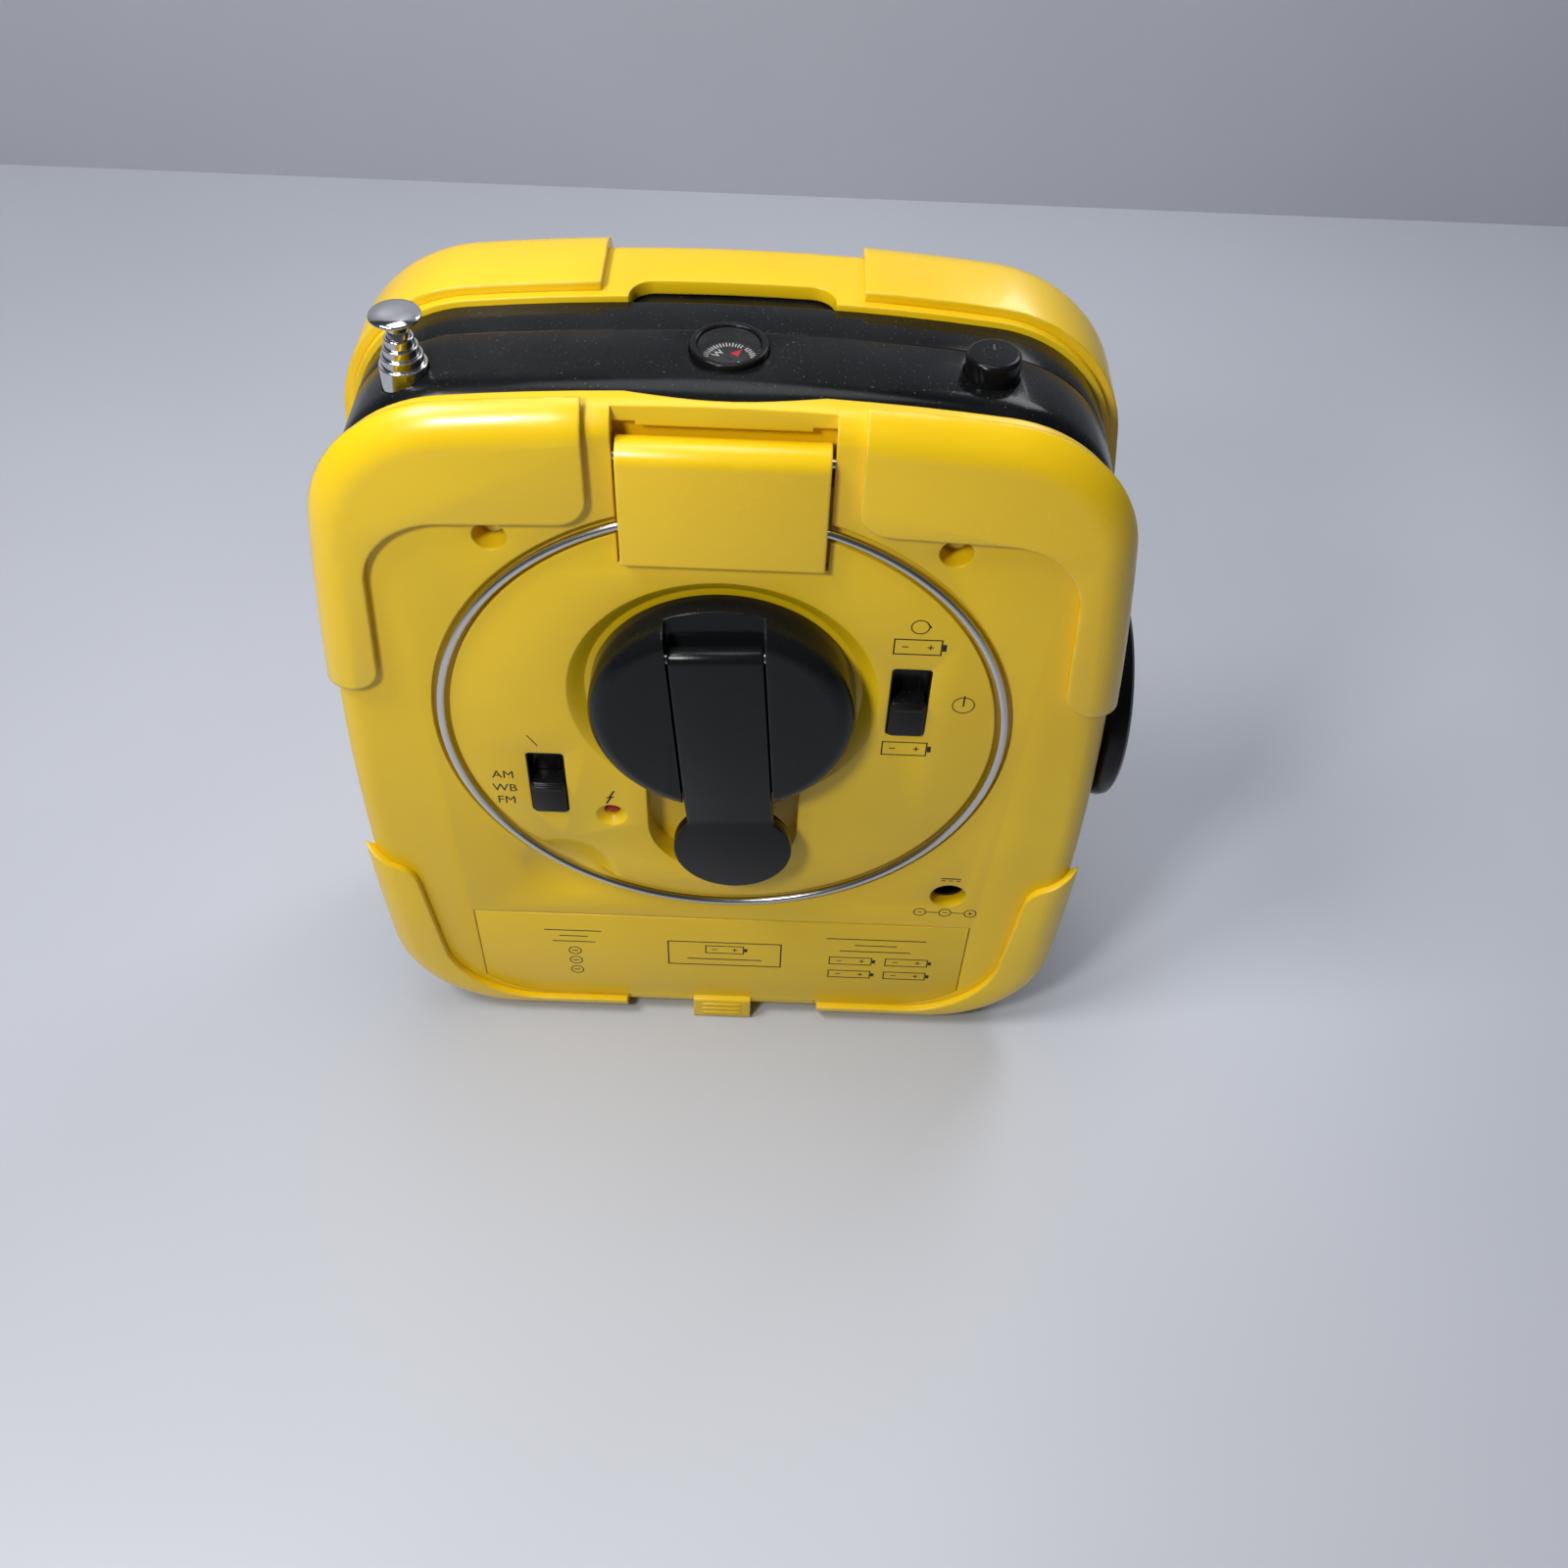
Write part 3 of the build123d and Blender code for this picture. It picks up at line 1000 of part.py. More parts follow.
with BuildPart() as compass_card:
    with BuildSketch(facing_up(compass_floor + 2.8, 0, COMPASS_Y)):
        Circle(COMPASS_WINDOW - 0.3)
        Circle(COMPASS_PIVOT + RUNNING, mode=Mode.SUBTRACT)
    extrude(amount=0.5)
compass_card.part.label = "compass_card"
export_step(compass_card.part, "parts/compass_card.step")

with BuildPart() as compass_lens:
    with BuildSketch(facing_up(COMPASS_TOP - 1.3, 0, COMPASS_Y)):
        Circle(COMPASS_WINDOW)
    extrude(amount=1.0)
    fillet(compass_lens.edges().group_by(Axis.Z)[-1], 0.5)
compass_lens.part.label = "compass_lens"
export_step(compass_lens.part, "parts/compass_lens.step")

# ---------------------------------------------------------------- power button
with BuildPart() as power_button:
    with BuildSketch(facing_up(POWER_TOP - 12, POWER_X, POWER_Y)):
        Circle(POWER_RADIUS)
    extrude(amount=12)
    fillet(power_button.edges().group_by(Axis.Z)[-1], 0.8)
    with BuildSketch(facing_up(POWER_TOP - 19, POWER_X, POWER_Y)):
        Circle(2)
    extrude(amount=12)
power_button.part.label = "power_button"
export_step(power_button.part, "parts/power_button.step")

# ---------------------------------------------------------------- telescopic antenna
section_radii = [ANTENNA_RADIUS - ANTENNA_STEP * n for n in range(5)]
section_names = [
    "antenna_base", "antenna_section_1", "antenna_section_2", "antenna_section_3", "antenna_tip"]
for number, (name, radius) in enumerate(zip(section_names, section_radii)):
    foot = ANTENNA_FOOT + 1.6 * number
    mouth = ANTENNA_MOUTH + ANTENNA_COLLAR * number
    with BuildPart() as section:
        with BuildSketch(facing_up(foot, ANTENNA_X, ANTENNA_Y)):
            Circle(radius)
        extrude(amount=mouth - foot)
        if name == "antenna_tip":
            with BuildSketch(facing_up(mouth, ANTENNA_X, ANTENNA_Y)):
                Circle(ANTENNA_CAP)
            extrude(amount=2.8)
            fillet(section.edges().group_by(Axis.Z)[-1], 2.2)
        else:
            fillet(section.edges().group_by(Axis.Z)[-1], 0.2)
            with BuildSketch(facing_up(foot + 1.2, ANTENNA_X, ANTENNA_Y)):
                Circle(radius - ANTENNA_STEP + RUNNING)
            extrude(amount=mouth, mode=Mode.SUBTRACT)
    section.part.label = name
    export_step(section.part, f"parts/{name}.step")

# ---------------------------------------------------------------- torch
torch_plane = Plane(
    origin=(CASE_X, CASE_Y + TORCH_DEPTH, TORCH_LEVEL), x_dir=(1, 0, 0), z_dir=(0, -1, 0))
torch_axis = Axis((CASE_X, CASE_Y + TORCH_DEPTH, TORCH_LEVEL), (1, 0, 0))
flange_back = side_arc_centre.X + side_arc_radius + 0.1
lens_back = TORCH_OUT - 3.6
with BuildPart() as torch_bezel:
    with BuildSketch(torch_plane):
        with BuildLine():
            Polyline(
                (TORCH_BACK, LENS_RADIUS), (TORCH_BACK, TORCH_TUBE), (flange_back, TORCH_TUBE),
                (flange_back, TORCH_RADIUS - 1.2), (flange_back + 1.2, TORCH_RADIUS - 0.4),
                (TORCH_OUT - 2.2, TORCH_RADIUS), (TORCH_OUT - 0.8, TORCH_RADIUS - 0.3),
                (TORCH_OUT, TORCH_RADIUS - 1.4), (TORCH_OUT - 1.8, LENS_RADIUS - 0.8),
                (lens_back + 1.4, LENS_RADIUS - 0.8), (lens_back + 1.4, LENS_RADIUS), close=True)
        make_face()
    revolve(axis=torch_axis)
torch_bezel.part.label = "torch_bezel"
export_step(torch_bezel.part, "parts/torch_bezel.step")

with BuildPart() as torch_lens:
    with BuildSketch(facing_right(lens_back, TORCH_DEPTH, TORCH_LEVEL)):
        Circle(LENS_RADIUS)
    extrude(amount=1.4)
torch_lens.part.label = "torch_lens"
export_step(torch_lens.part, "parts/torch_lens.step")

bowl_depth = 14.0
bowl_back = lens_back - bowl_depth
with BuildPart() as torch_reflector:
    with BuildSketch(torch_plane):
        with BuildLine():
            Polyline(
                (lens_back, LENS_RADIUS), (lens_back, LENS_RADIUS - 1),
                (bowl_back + 7, 0.72 * LENS_RADIUS), (bowl_back + 2, 0.4 * LENS_RADIUS),
                (bowl_back, 3.0), (bowl_back - 1.2, 3.0), (bowl_back - 1.2, 4.5),
                (bowl_back + 1.2, 0.5 * LENS_RADIUS), (bowl_back + 6, 0.8 * LENS_RADIUS),
                (lens_back - 1.5, LENS_RADIUS), close=True)
        make_face()
    revolve(axis=torch_axis)
torch_reflector.part.label = "torch_reflector"
export_step(torch_reflector.part, "parts/torch_reflector.step")

with BuildPart() as torch_bulb:
    with BuildSketch(facing_right(bowl_back - 6, TORCH_DEPTH, TORCH_LEVEL)):
        Circle(3.0)
    extrude(amount=9)
    fillet(torch_bulb.edges().group_by(Axis.X)[-1], 2.4)
torch_bulb.part.label = "torch_bulb"
export_step(torch_bulb.part, "parts/torch_bulb.step")

# ---------------------------------------------------------------- speaker and its grille
speaker_axis = Axis(
    (CASE_X + SPEAKER_PLACE[0], CASE_Y, SPEAKER_PLACE[1]), (0, 1, 0))
speaker_plane = Plane(
    origin=(CASE_X + SPEAKER_PLACE[0], CASE_Y, SPEAKER_PLACE[1]), x_dir=(1, 0, 0),
    z_dir=(0, 0, 1))
speaker_front = FRONT_FACE - FRONT_WALL
with BuildPart() as speaker:
    with BuildSketch(speaker_plane):
        with BuildLine():
            Polyline(
                (0, speaker_front - 19), (14, speaker_front - 19), (14, speaker_front - 12),
                (16, speaker_front - 11), (SPEAKER_RADIUS - 3, speaker_front - 2.5),
                (SPEAKER_RADIUS, speaker_front - 2.5), (SPEAKER_RADIUS, speaker_front),
                (SPEAKER_RADIUS - 3, speaker_front), (SPEAKER_RADIUS - 5, speaker_front - 1.5),
                (8, speaker_front - 8), (0, speaker_front - 6), close=True)
        make_face()
    revolve(axis=speaker_axis)
speaker.part.label = "speaker"
export_step(speaker.part, "parts/speaker.step")

with BuildPart() as speaker_grille:
    with BuildSketch(facing_back(FRONT_FACE + GRILLE_PROUD, *SPEAKER_PLACE)):
        Circle(GRILLE_RADIUS)
        for level in range(-5, 6):
            rise = level * GRILLE_PITCH
            reach = sqrt((GRILLE_RADIUS - 4) ** 2 - rise ** 2)
            with Locations((0, rise)):
                SlotOverall(2 * reach, GRILLE_SLOT, mode=Mode.SUBTRACT)
        Rectangle(2.4, 2 * GRILLE_RADIUS - 4)
    extrude(amount=GRILLE_SEAT + GRILLE_PROUD)
speaker_grille.part.label = "speaker_grille"
export_step(speaker_grille.part, "parts/speaker_grille.step")

# ---------------------------------------------------------------- tuning, volume and board
shaft_end = BOARD_DEPTH[1] + 1.4
key_back = FRONT_FACE - FRONT_WALL - 0.1 - KEY_FLANGE
for name, place, radius in (
        ("tuning_knob", TUNING_PLACE, TUNING_RADIUS), ("volume_knob", VOLUME_PLACE, VOLUME_RADIUS)):
    with BuildPart() as knob:
        with BuildSketch(facing_back(FRONT_FACE + KNOB_OUT, *place)):
            Circle(radius)
        extrude(amount=KNOB_OUT - 0.4)
        fillet(knob.edges().group_by(Axis.Y)[-1], 1.0)
        with BuildSketch(facing_back(FRONT_FACE + KNOB_OUT - 1, *place)):
            Circle(KNOB_SHAFT)
        extrude(amount=FRONT_FACE + KNOB_OUT - 1 - shaft_end)
    knob.part.label = name
    export_step(knob.part, f"parts/{name}.step")

with BuildPart() as dial_disc:
    with BuildSketch(facing_back(DISC_DEPTH[1], *TUNING_PLACE)):
        Circle(DISC_RADIUS)
        Circle(KNOB_SHAFT, mode=Mode.SUBTRACT)
    extrude(amount=DISC_DEPTH[1] - DISC_DEPTH[0])
dial_disc.part.label = "dial_disc"
export_step(dial_disc.part, "parts/dial_disc.step")

with BuildPart() as dial_window:
    with BuildSketch(facing_back(FRONT_FACE - 0.3, TUNING_PLACE[0], DIAL_LEVEL)):
        RectangleRounded(*DIAL_SIZE, 1.0)
    extrude(amount=FRONT_WALL - 0.6)
dial_window.part.label = "dial_window"
export_step(dial_window.part, "parts/dial_window.step")

with BuildPart() as tuning_capacitor:
    with BuildSketch(facing_back(DISC_DEPTH[0] - 2.6, *TUNING_PLACE)):
        Rectangle(18, 18)
    extrude(amount=DISC_DEPTH[0] - 2.6 - BOARD_DEPTH[1])
    with BuildSketch(facing_back(DISC_DEPTH[0], *TUNING_PLACE)):
        Circle(KNOB_SHAFT + RUNNING)
    extrude(amount=DISC_DEPTH[0] - shaft_end + 0.2, mode=Mode.SUBTRACT)
tuning_capacitor.part.label = "tuning_capacitor"
export_step(tuning_capacitor.part, "parts/tuning_capacitor.step")

board_height = TUNING_PLACE[1] + BOARD_OVER_TUNING - BOARD_BASE
board_centre = (sum(BOARD_SIDES) / 2, BOARD_BASE + board_height / 2)
with BuildPart() as main_board:
    with BuildSketch(facing_back(BOARD_DEPTH[1], *board_centre)):
        Rectangle(BOARD_SIDES[1] - BOARD_SIDES[0], board_height)
    extrude(amount=BOARD_DEPTH[1] - BOARD_DEPTH[0])
    # small switches behind the clock keys
    with BuildSketch(facing_back(key_back - KEY_TRAVEL - 0.1)):
        with Locations((KEY_PLACES[0][0] + 2, KEY_PLACES[0][1]), KEY_PLACES[1]):
            Rectangle(4, 4)
    extrude(amount=key_back - KEY_TRAVEL - 0.1 - BOARD_DEPTH[1])
    with BuildSketch(facing_back(BOARD_DEPTH[1] + 5.5, *VOLUME_PLACE)):
        Rectangle(14, 14)
    extrude(amount=5.5)
    with BuildSketch(facing_back(BOARD_DEPTH[1] + 2.0)):
        with Locations((18, 72), (18, 88)):
            Rectangle(8, 11)
    extrude(amount=2)
    with BuildSketch(facing_back(BOARD_DEPTH[1] + 6.0)):
        with Locations((30, 60), (38, 61), (30, 92)):
            Circle(2.5)
    extrude(amount=6)
    with BuildSketch(facing_back(BOARD_DEPTH[1] + 6, *VOLUME_PLACE)):
        Circle(KNOB_SHAFT + RUNNING)
    extrude(amount=BOARD_DEPTH[1] + 6 - shaft_end + 0.2, mode=Mode.SUBTRACT)
main_board.part.label = "main_board"
export_step(main_board.part, "parts/main_board.step")

with BuildPart() as ferrite_rod:
    with BuildSketch(facing_right(-42, ROD_DEPTH, ROD_LEVEL)):
        Circle(ROD_RADIUS)
    extrude(amount=74)
ferrite_rod.part.label = "ferrite_rod"
export_step(ferrite_rod.part, "parts/ferrite_rod.step")

# ---------------------------------------------------------------- clock and its keys
with BuildPart() as clock_display:
    with BuildSketch(facing_back(FRONT_FACE - 0.4, *CLOCK_PLACE)):
        RectangleRounded(*CLOCK_SIZE, 1.5)
    extrude(amount=FRONT_WALL - 0.4)
    with BuildSketch(facing_back(FRONT_FACE - FRONT_WALL, *CLOCK_PLACE)):
        Rectangle(CLOCK_SIZE[0] + 4, CLOCK_SIZE[1] + 4)
    extrude(amount=3.5)
clock_display.part.label = "clock_display"
export_step(clock_display.part, "parts/clock_display.step")

for name, place in zip(("clock_set_key", "clock_mode_key"), KEY_PLACES):
    with BuildPart() as key:
        with BuildSketch(facing_back(FRONT_FACE + KEY_PROUD, *place)):
            Circle(KEY_RADIUS)
        extrude(amount=FRONT_FACE + KEY_PROUD - key_back)
        fillet(key.edges().group_by(Axis.Y)[-1], 0.5)
        with BuildSketch(facing_back(FRONT_FACE - FRONT_WALL - 0.1, *place)):
            Circle(KEY_RADIUS + 1)
        extrude(amount=KEY_FLANGE)
    key.part.label = name
    export_step(key.part, f"parts/{name}.step")
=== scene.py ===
"""Hand-cranked emergency radio: moulded yellow case, black band, fold-out crank and hanging ring."""
import bpy
import bmesh
from math import cos, pi, radians, sin
from mathutils import Matrix, Vector


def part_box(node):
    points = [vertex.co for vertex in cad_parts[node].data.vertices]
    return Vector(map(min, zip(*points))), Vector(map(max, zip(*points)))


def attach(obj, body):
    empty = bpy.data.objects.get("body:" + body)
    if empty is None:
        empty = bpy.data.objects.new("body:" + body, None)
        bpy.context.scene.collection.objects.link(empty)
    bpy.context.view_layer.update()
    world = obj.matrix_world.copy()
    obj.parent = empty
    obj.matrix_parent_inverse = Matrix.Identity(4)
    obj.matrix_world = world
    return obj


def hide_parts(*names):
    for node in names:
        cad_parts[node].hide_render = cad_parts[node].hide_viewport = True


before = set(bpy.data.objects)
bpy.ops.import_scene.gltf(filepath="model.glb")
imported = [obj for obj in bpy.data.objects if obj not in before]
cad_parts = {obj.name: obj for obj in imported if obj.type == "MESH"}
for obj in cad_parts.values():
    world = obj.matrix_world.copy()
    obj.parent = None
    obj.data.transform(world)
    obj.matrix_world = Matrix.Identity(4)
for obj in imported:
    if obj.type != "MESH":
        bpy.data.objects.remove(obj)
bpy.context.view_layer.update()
MM = 0.001


# ---------------------------------------------------------------- yellow case and bumpers
# Two ABS shells with a raised corner bumper at each of the eight corners. The shells are
# satin, with a fine spark-eroded grain. The bumpers and the bracket are a little glossier.
# Edges are rounded by the tool and rubbed pale by handling, and dust settles on what faces up.
def shader_group(name, inputs, outputs):
    """An empty node group with float inputs and the outputs given as (name, socket type)."""
    group = bpy.data.node_groups.new(name, "ShaderNodeTree")
    for label, value in inputs:
        socket = group.interface.new_socket(label, in_out="INPUT", socket_type="NodeSocketFloat")
        socket.default_value = value
    for label, kind in outputs:
        group.interface.new_socket(label, in_out="OUTPUT", socket_type=kind)
    return group, group.nodes.new("NodeGroupInput"), group.nodes.new("NodeGroupOutput")


def node(tree, kind, links=(), **settings):
    """Adds a node, sets its inputs or properties and links sockets into its inputs."""
    made = tree.nodes.new(kind)
    for key, value in settings.items():
        if hasattr(made, key):
            setattr(made, key, value)
        else:
            made.inputs[key.replace("_", " ")].default_value = value
    for target, source in links:
        tree.links.new(source, made.inputs[target])
    return made


def ramp(tree, source, low, high, at_low=0.0, at_high=1.0):
    """Maps a value between two limits, clamped."""
    made = node(tree, "ShaderNodeMapRange", [("Value", source)])
    made.inputs["From Min"].default_value = low
    made.inputs["From Max"].default_value = high
    made.inputs["To Min"].default_value = at_low
    made.inputs["To Max"].default_value = at_high
    return made.outputs["Result"]


def maths(tree, operation, first, second):
    """Combines two sockets, or a socket and a number."""
    made = node(tree, "ShaderNodeMath", operation=operation)
    for index, value in enumerate((first, second)):
        if isinstance(value, (int, float)):
            made.inputs[index].default_value = value
        else:
            tree.links.new(value, made.inputs[index])
    return made.outputs[0]


def noise(tree, scale, detail=3.0, stretch=(1, 1, 1)):
    """Noise on object coordinates, scale in cells per metre."""
    place = node(tree, "ShaderNodeTexCoord")
    mapping = node(tree, "ShaderNodeMapping", [("Vector", place.outputs["Object"])], Scale=stretch)
    made = node(tree, "ShaderNodeTexNoise", [("Vector", mapping.outputs[0])], Detail=detail)
    if isinstance(scale, (int, float)):
        made.inputs["Scale"].default_value = scale
    else:
        tree.links.new(scale, made.inputs["Scale"])
    return made.outputs["Fac"]


def edge_group():
    group, inside, out = shader_group(
        "rubbed_edges", [("Radius", 0.0003), ("Breakup", 300.0)],
        [("Edge", "NodeSocketFloat"), ("Normal", "NodeSocketVector")])
    rounded = node(group, "ShaderNodeBevel", [("Radius", inside.outputs["Radius"])], samples=4)
    flat = node(group, "ShaderNodeNewGeometry")
    turned = node(
        group, "ShaderNodeVectorMath",
        [(0, rounded.outputs[0]), (1, flat.outputs["Normal"])], operation="DOT_PRODUCT")
    rim = ramp(group, turned.outputs["Value"], 0.985, 0.86)
    patchy = ramp(group, noise(group, inside.outputs["Breakup"]), 0.38, 0.62)
    group.links.new(maths(group, "MULTIPLY", rim, patchy), out.inputs["Edge"])
    group.links.new(rounded.outputs[0], out.inputs["Normal"])
    return group


def grain_group():
    group, inside, out = shader_group(
        "moulded_grain", [("Scale", 3500.0)],
        [("Height", "NodeSocketFloat"), ("Tone", "NodeSocketFloat")])
    fine = noise(group, inside.outputs["Scale"], 2.0)
    coarse = noise(group, maths(group, "MULTIPLY", inside.outputs["Scale"], 0.2), 3.0)
    group.links.new(maths(group, "ADD", fine, maths(group, "MULTIPLY", coarse, 0.6)),
                    out.inputs["Height"])
    group.links.new(noise(group, 28.0, 4.0), out.inputs["Tone"])
    return group


def dust_group():
    group, inside, out = shader_group(
        "settled_dust", [("Amount", 0.3)], [("Mask", "NodeSocketFloat")])
    face = node(group, "ShaderNodeNewGeometry")
    split = node(group, "ShaderNodeSeparateXYZ", [(0, face.outputs["Normal"])])
    upward = ramp(group, split.outputs["Z"], 0.1, 0.95, 0.15, 1.0)
    film = ramp(group, noise(group, 90.0, 6.0), 0.45, 0.75)
    specks = ramp(group, noise(group, 2600.0, 1.0), 0.70, 0.76)
    both = maths(group, "MAXIMUM", maths(group, "MULTIPLY", film, 0.08), specks)
    settled = maths(group, "MULTIPLY", maths(group, "MULTIPLY", both, upward),
                    inside.outputs["Amount"])
    group.links.new(settled, out.inputs["Mask"])
    return group


def scratch_group():
    group, inside, out = shader_group(
        "fine_scratches", [("Amount", 0.3)], [("Mask", "NodeSocketFloat")])
    one = ramp(group, noise(group, 60.0, 2.0, (1, 30, 1)), 0.70, 0.73)
    other = ramp(group, noise(group, 45.0, 2.0, (25, 1, 18)), 0.71, 0.74)
    both = maths(group, "MAXIMUM", one, other)
    group.links.new(maths(group, "MULTIPLY", both, inside.outputs["Amount"]), out.inputs["Mask"])
    return group


EDGES = edge_group()
GRAIN = grain_group()
DUST = dust_group()
SCRATCHES = scratch_group()


def mixed(tree, factor, first, second):
    """Mixes two colours, given as sockets or values."""
    made = node(tree, "ShaderNodeMix", [("Factor", factor)], data_type="RGBA")
    for index, value in ((6, first), (7, second)):
        if isinstance(value, tuple):
            made.inputs[index].default_value = (*value, 1.0)
        else:
            tree.links.new(value, made.inputs[index])
    return made.outputs[2]


def placed(tree, group, **values):
    made = tree.nodes.new("ShaderNodeGroup")
    made.node_tree = group
    for key, value in values.items():
        made.inputs[key].default_value = value
    return made


def finish_material(
        name, colour, deep=None, rough=(0.3, 0.42), grain=3500.0, depth=0.02, rub=None,
        round_edge=0.3, dust=0.15, scratches=0.1, metallic=0.0, coat=0.0, specular=0.5):
    """A solid finish: colour drifts to a deeper tone, edges are rubbed, grain sets the bump."""
    material = bpy.data.materials.new(name)
    material.use_nodes = True
    tree = material.node_tree
    shader = tree.nodes["Principled BSDF"]
    edges = placed(tree, EDGES, Radius=round_edge * MM)
    surface = placed(tree, GRAIN, Scale=grain)
    dusty = placed(tree, DUST, Amount=dust)
    marks = placed(tree, SCRATCHES, Amount=scratches)
    deep = deep or tuple(0.82 * c for c in colour)
    rub = rub or tuple(min(1.0, c * 1.25 + 0.02) for c in colour)
    base = mixed(tree, ramp(tree, surface.outputs["Tone"], 0.35, 0.65), deep, colour)
    base = mixed(tree, edges.outputs["Edge"], base, rub)
    base = mixed(tree, dusty.outputs["Mask"], base, (0.55, 0.53, 0.5))
    tree.links.new(base, shader.inputs["Base Color"])
    gloss = ramp(tree, surface.outputs["Tone"], 0.3, 0.7, rough[0], rough[1])
    gloss = maths(tree, "ADD", gloss, maths(tree, "MULTIPLY", dusty.outputs["Mask"], 0.4))
    gloss = maths(tree, "ADD", gloss, maths(tree, "MULTIPLY", marks.outputs["Mask"], 0.25))
    tree.links.new(gloss, shader.inputs["Roughness"])
    height = maths(tree, "SUBTRACT", surface.outputs["Height"], marks.outputs["Mask"])
    bump = node(tree, "ShaderNodeBump", [("Height", height), ("Normal", edges.outputs["Normal"])],
                Strength=1.0, Distance=depth * MM)
    tree.links.new(bump.outputs[0], shader.inputs["Normal"])
    shader.inputs["Metallic"].default_value = metallic
    shader.inputs["Coat Weight"].default_value = coat
    shader.inputs["Specular IOR Level"].default_value = specular
    return material


def paint(material, *names):
    """Gives CAD nodes their finish."""
    for name in names:
        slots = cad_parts[name].data.materials
        slots.clear()
        slots.append(material)


def finished(work, name, body, material, replaces=(), smooth=32):
    """Turns a bmesh into a piece that rides on a body."""
    mesh = bpy.data.meshes.new(name)
    work.to_mesh(mesh)
    work.free()
    mesh.materials.append(material)
    mesh.shade_smooth()
    mesh.set_sharp_from_angle(angle=radians(smooth))
    piece = bpy.data.objects.new(name, mesh)
    bpy.context.scene.collection.objects.link(piece)
    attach(piece, body)
    if replaces:
        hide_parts(*replaces)
    return piece


def softened(name, body, material, width, segments=3, sharp=30):
    """A moulding with its edges rounded in the mesh, standing for the CAD node of that name."""
    work = bmesh.new()
    work.from_mesh(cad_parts[name].data)
    bmesh.ops.remove_doubles(work, verts=work.verts, dist=1e-6)
    bmesh.ops.dissolve_limit(
        work, angle_limit=radians(0.4), verts=work.verts[:], edges=work.edges[:])
    rims = [e for e in work.edges
            if len(e.link_faces) == 2 and e.calc_face_angle(0) > radians(sharp)]
    bmesh.ops.bevel(
        work, geom=rims, offset=width * MM, segments=segments, profile=0.5, affect="EDGES",
        clamp_overlap=True, material=-1)
    return finished(work, name + "_moulding", body, material, [name], 40)


YELLOW = (0.84, 0.56, 0.006)
shell_yellow = finish_material(
    "shell_yellow", YELLOW, (0.80, 0.515, 0.004), (0.30, 0.40), 3000, 0.012,
    (0.93, 0.66, 0.09), 0.45, 0.05, 0.15)
bumper_yellow = finish_material(
    "bumper_yellow", (0.86, 0.575, 0.007), (0.83, 0.53, 0.005), (0.24, 0.34), 2600, 0.008,
    (0.94, 0.70, 0.12), 0.7, 0.05, 0.2, coat=0.15)
softened("rear_shell", "case", shell_yellow, 0.35)
softened("front_shell", "case", shell_yellow, 0.35)
softened("battery_door", "door", shell_yellow, 0.3)
softened("bail_bracket", "bracket", bumper_yellow, 0.5)
for end in ("rear", "front"):
    for level in ("top", "base"):
        for side in ("left", "right"):
            softened(f"{end}_bumper_{level}_{side}", "case", bumper_yellow, 0.6)

# ---------------------------------------------------------------- black band
# A semi-gloss black belt in two halves between the shells. It gathers lint and fine scratches.
band_black = finish_material(
    "band_black", (0.0055, 0.006, 0.0065), (0.004, 0.0045, 0.005), (0.14, 0.24), 2400, 0.006,
    (0.028, 0.028, 0.03), 0.35, 0.12, 0.5, specular=0.16)
control_black = finish_material(
    "control_black", (0.007, 0.007, 0.0075), (0.005, 0.005, 0.0055), (0.15, 0.25), 3200, 0.008,
    (0.035, 0.035, 0.037), 0.3, 0.08, 0.2, specular=0.2)
softened("mid_band_rear", "case", band_black, 0.25)
softened("mid_band_front", "case", band_black, 0.25)
softened("torch_bezel", "case", control_black, 0.3)
softened("power_button", "power", control_black, 0.3)
softened("compass_housing", "case", control_black, 0.25)
softened("speaker_grille", "case", control_black, 0.25)
softened("clock_set_key", "set_key", control_black, 0.2)
softened("clock_mode_key", "mode_key", control_black, 0.2)
paint(control_black, "band_switch", "source_switch", "dc_jack", "tuning_capacitor")

# ---------------------------------------------------------------- crank
# Charcoal nylon: a round drum, an arm that lies in its slot and a flat finger disc.
# The arm unfolds on a steel pin through the drum, and hands keep its edges shiny.
crank_charcoal = finish_material(
    "crank_charcoal", (0.006, 0.007, 0.008), (0.0045, 0.0055, 0.0065), (0.13, 0.21), 2600, 0.005,
    (0.035, 0.038, 0.04), 0.5, 0.06, 0.3, specular=0.2)
softened("crank_drum", "crank", crank_charcoal, 0.4)
softened("crank_arm", "arm", crank_charcoal, 0.5)
softened("crank_knob", "knob", crank_charcoal, 0.3)

# ---------------------------------------------------------------- bright metal
# Drawn stainless wire makes the ring and the pins, and the case screws are plain steel.
# The antenna's brass tubes are plated with chrome, and the torch bowl is coated with metal.
wire_steel = finish_material(
    "wire_steel", (0.62, 0.62, 0.61), (0.5, 0.5, 0.5), (0.16, 0.28), 5000, 0.004,
    (0.8, 0.8, 0.8), 0.05, 0.0, 0.2, metallic=1.0)
antenna_chrome = finish_material(
    "antenna_chrome", (0.72, 0.72, 0.72), (0.62, 0.62, 0.62), (0.08, 0.16), 4000, 0.002,
    (0.85, 0.85, 0.85), 0.12, 0.05, 0.1, metallic=1.0)
paint(wire_steel, "bail_ring", "bracket_pin", "crank_hinge_pin", "case_screws")
paint(antenna_chrome, "torch_reflector")
for number in range(3):
    softened(f"antenna_section_{number + 1}", f"antenna_{number + 1}", antenna_chrome, 0.2)
softened("antenna_base", "case", antenna_chrome, 0.25)

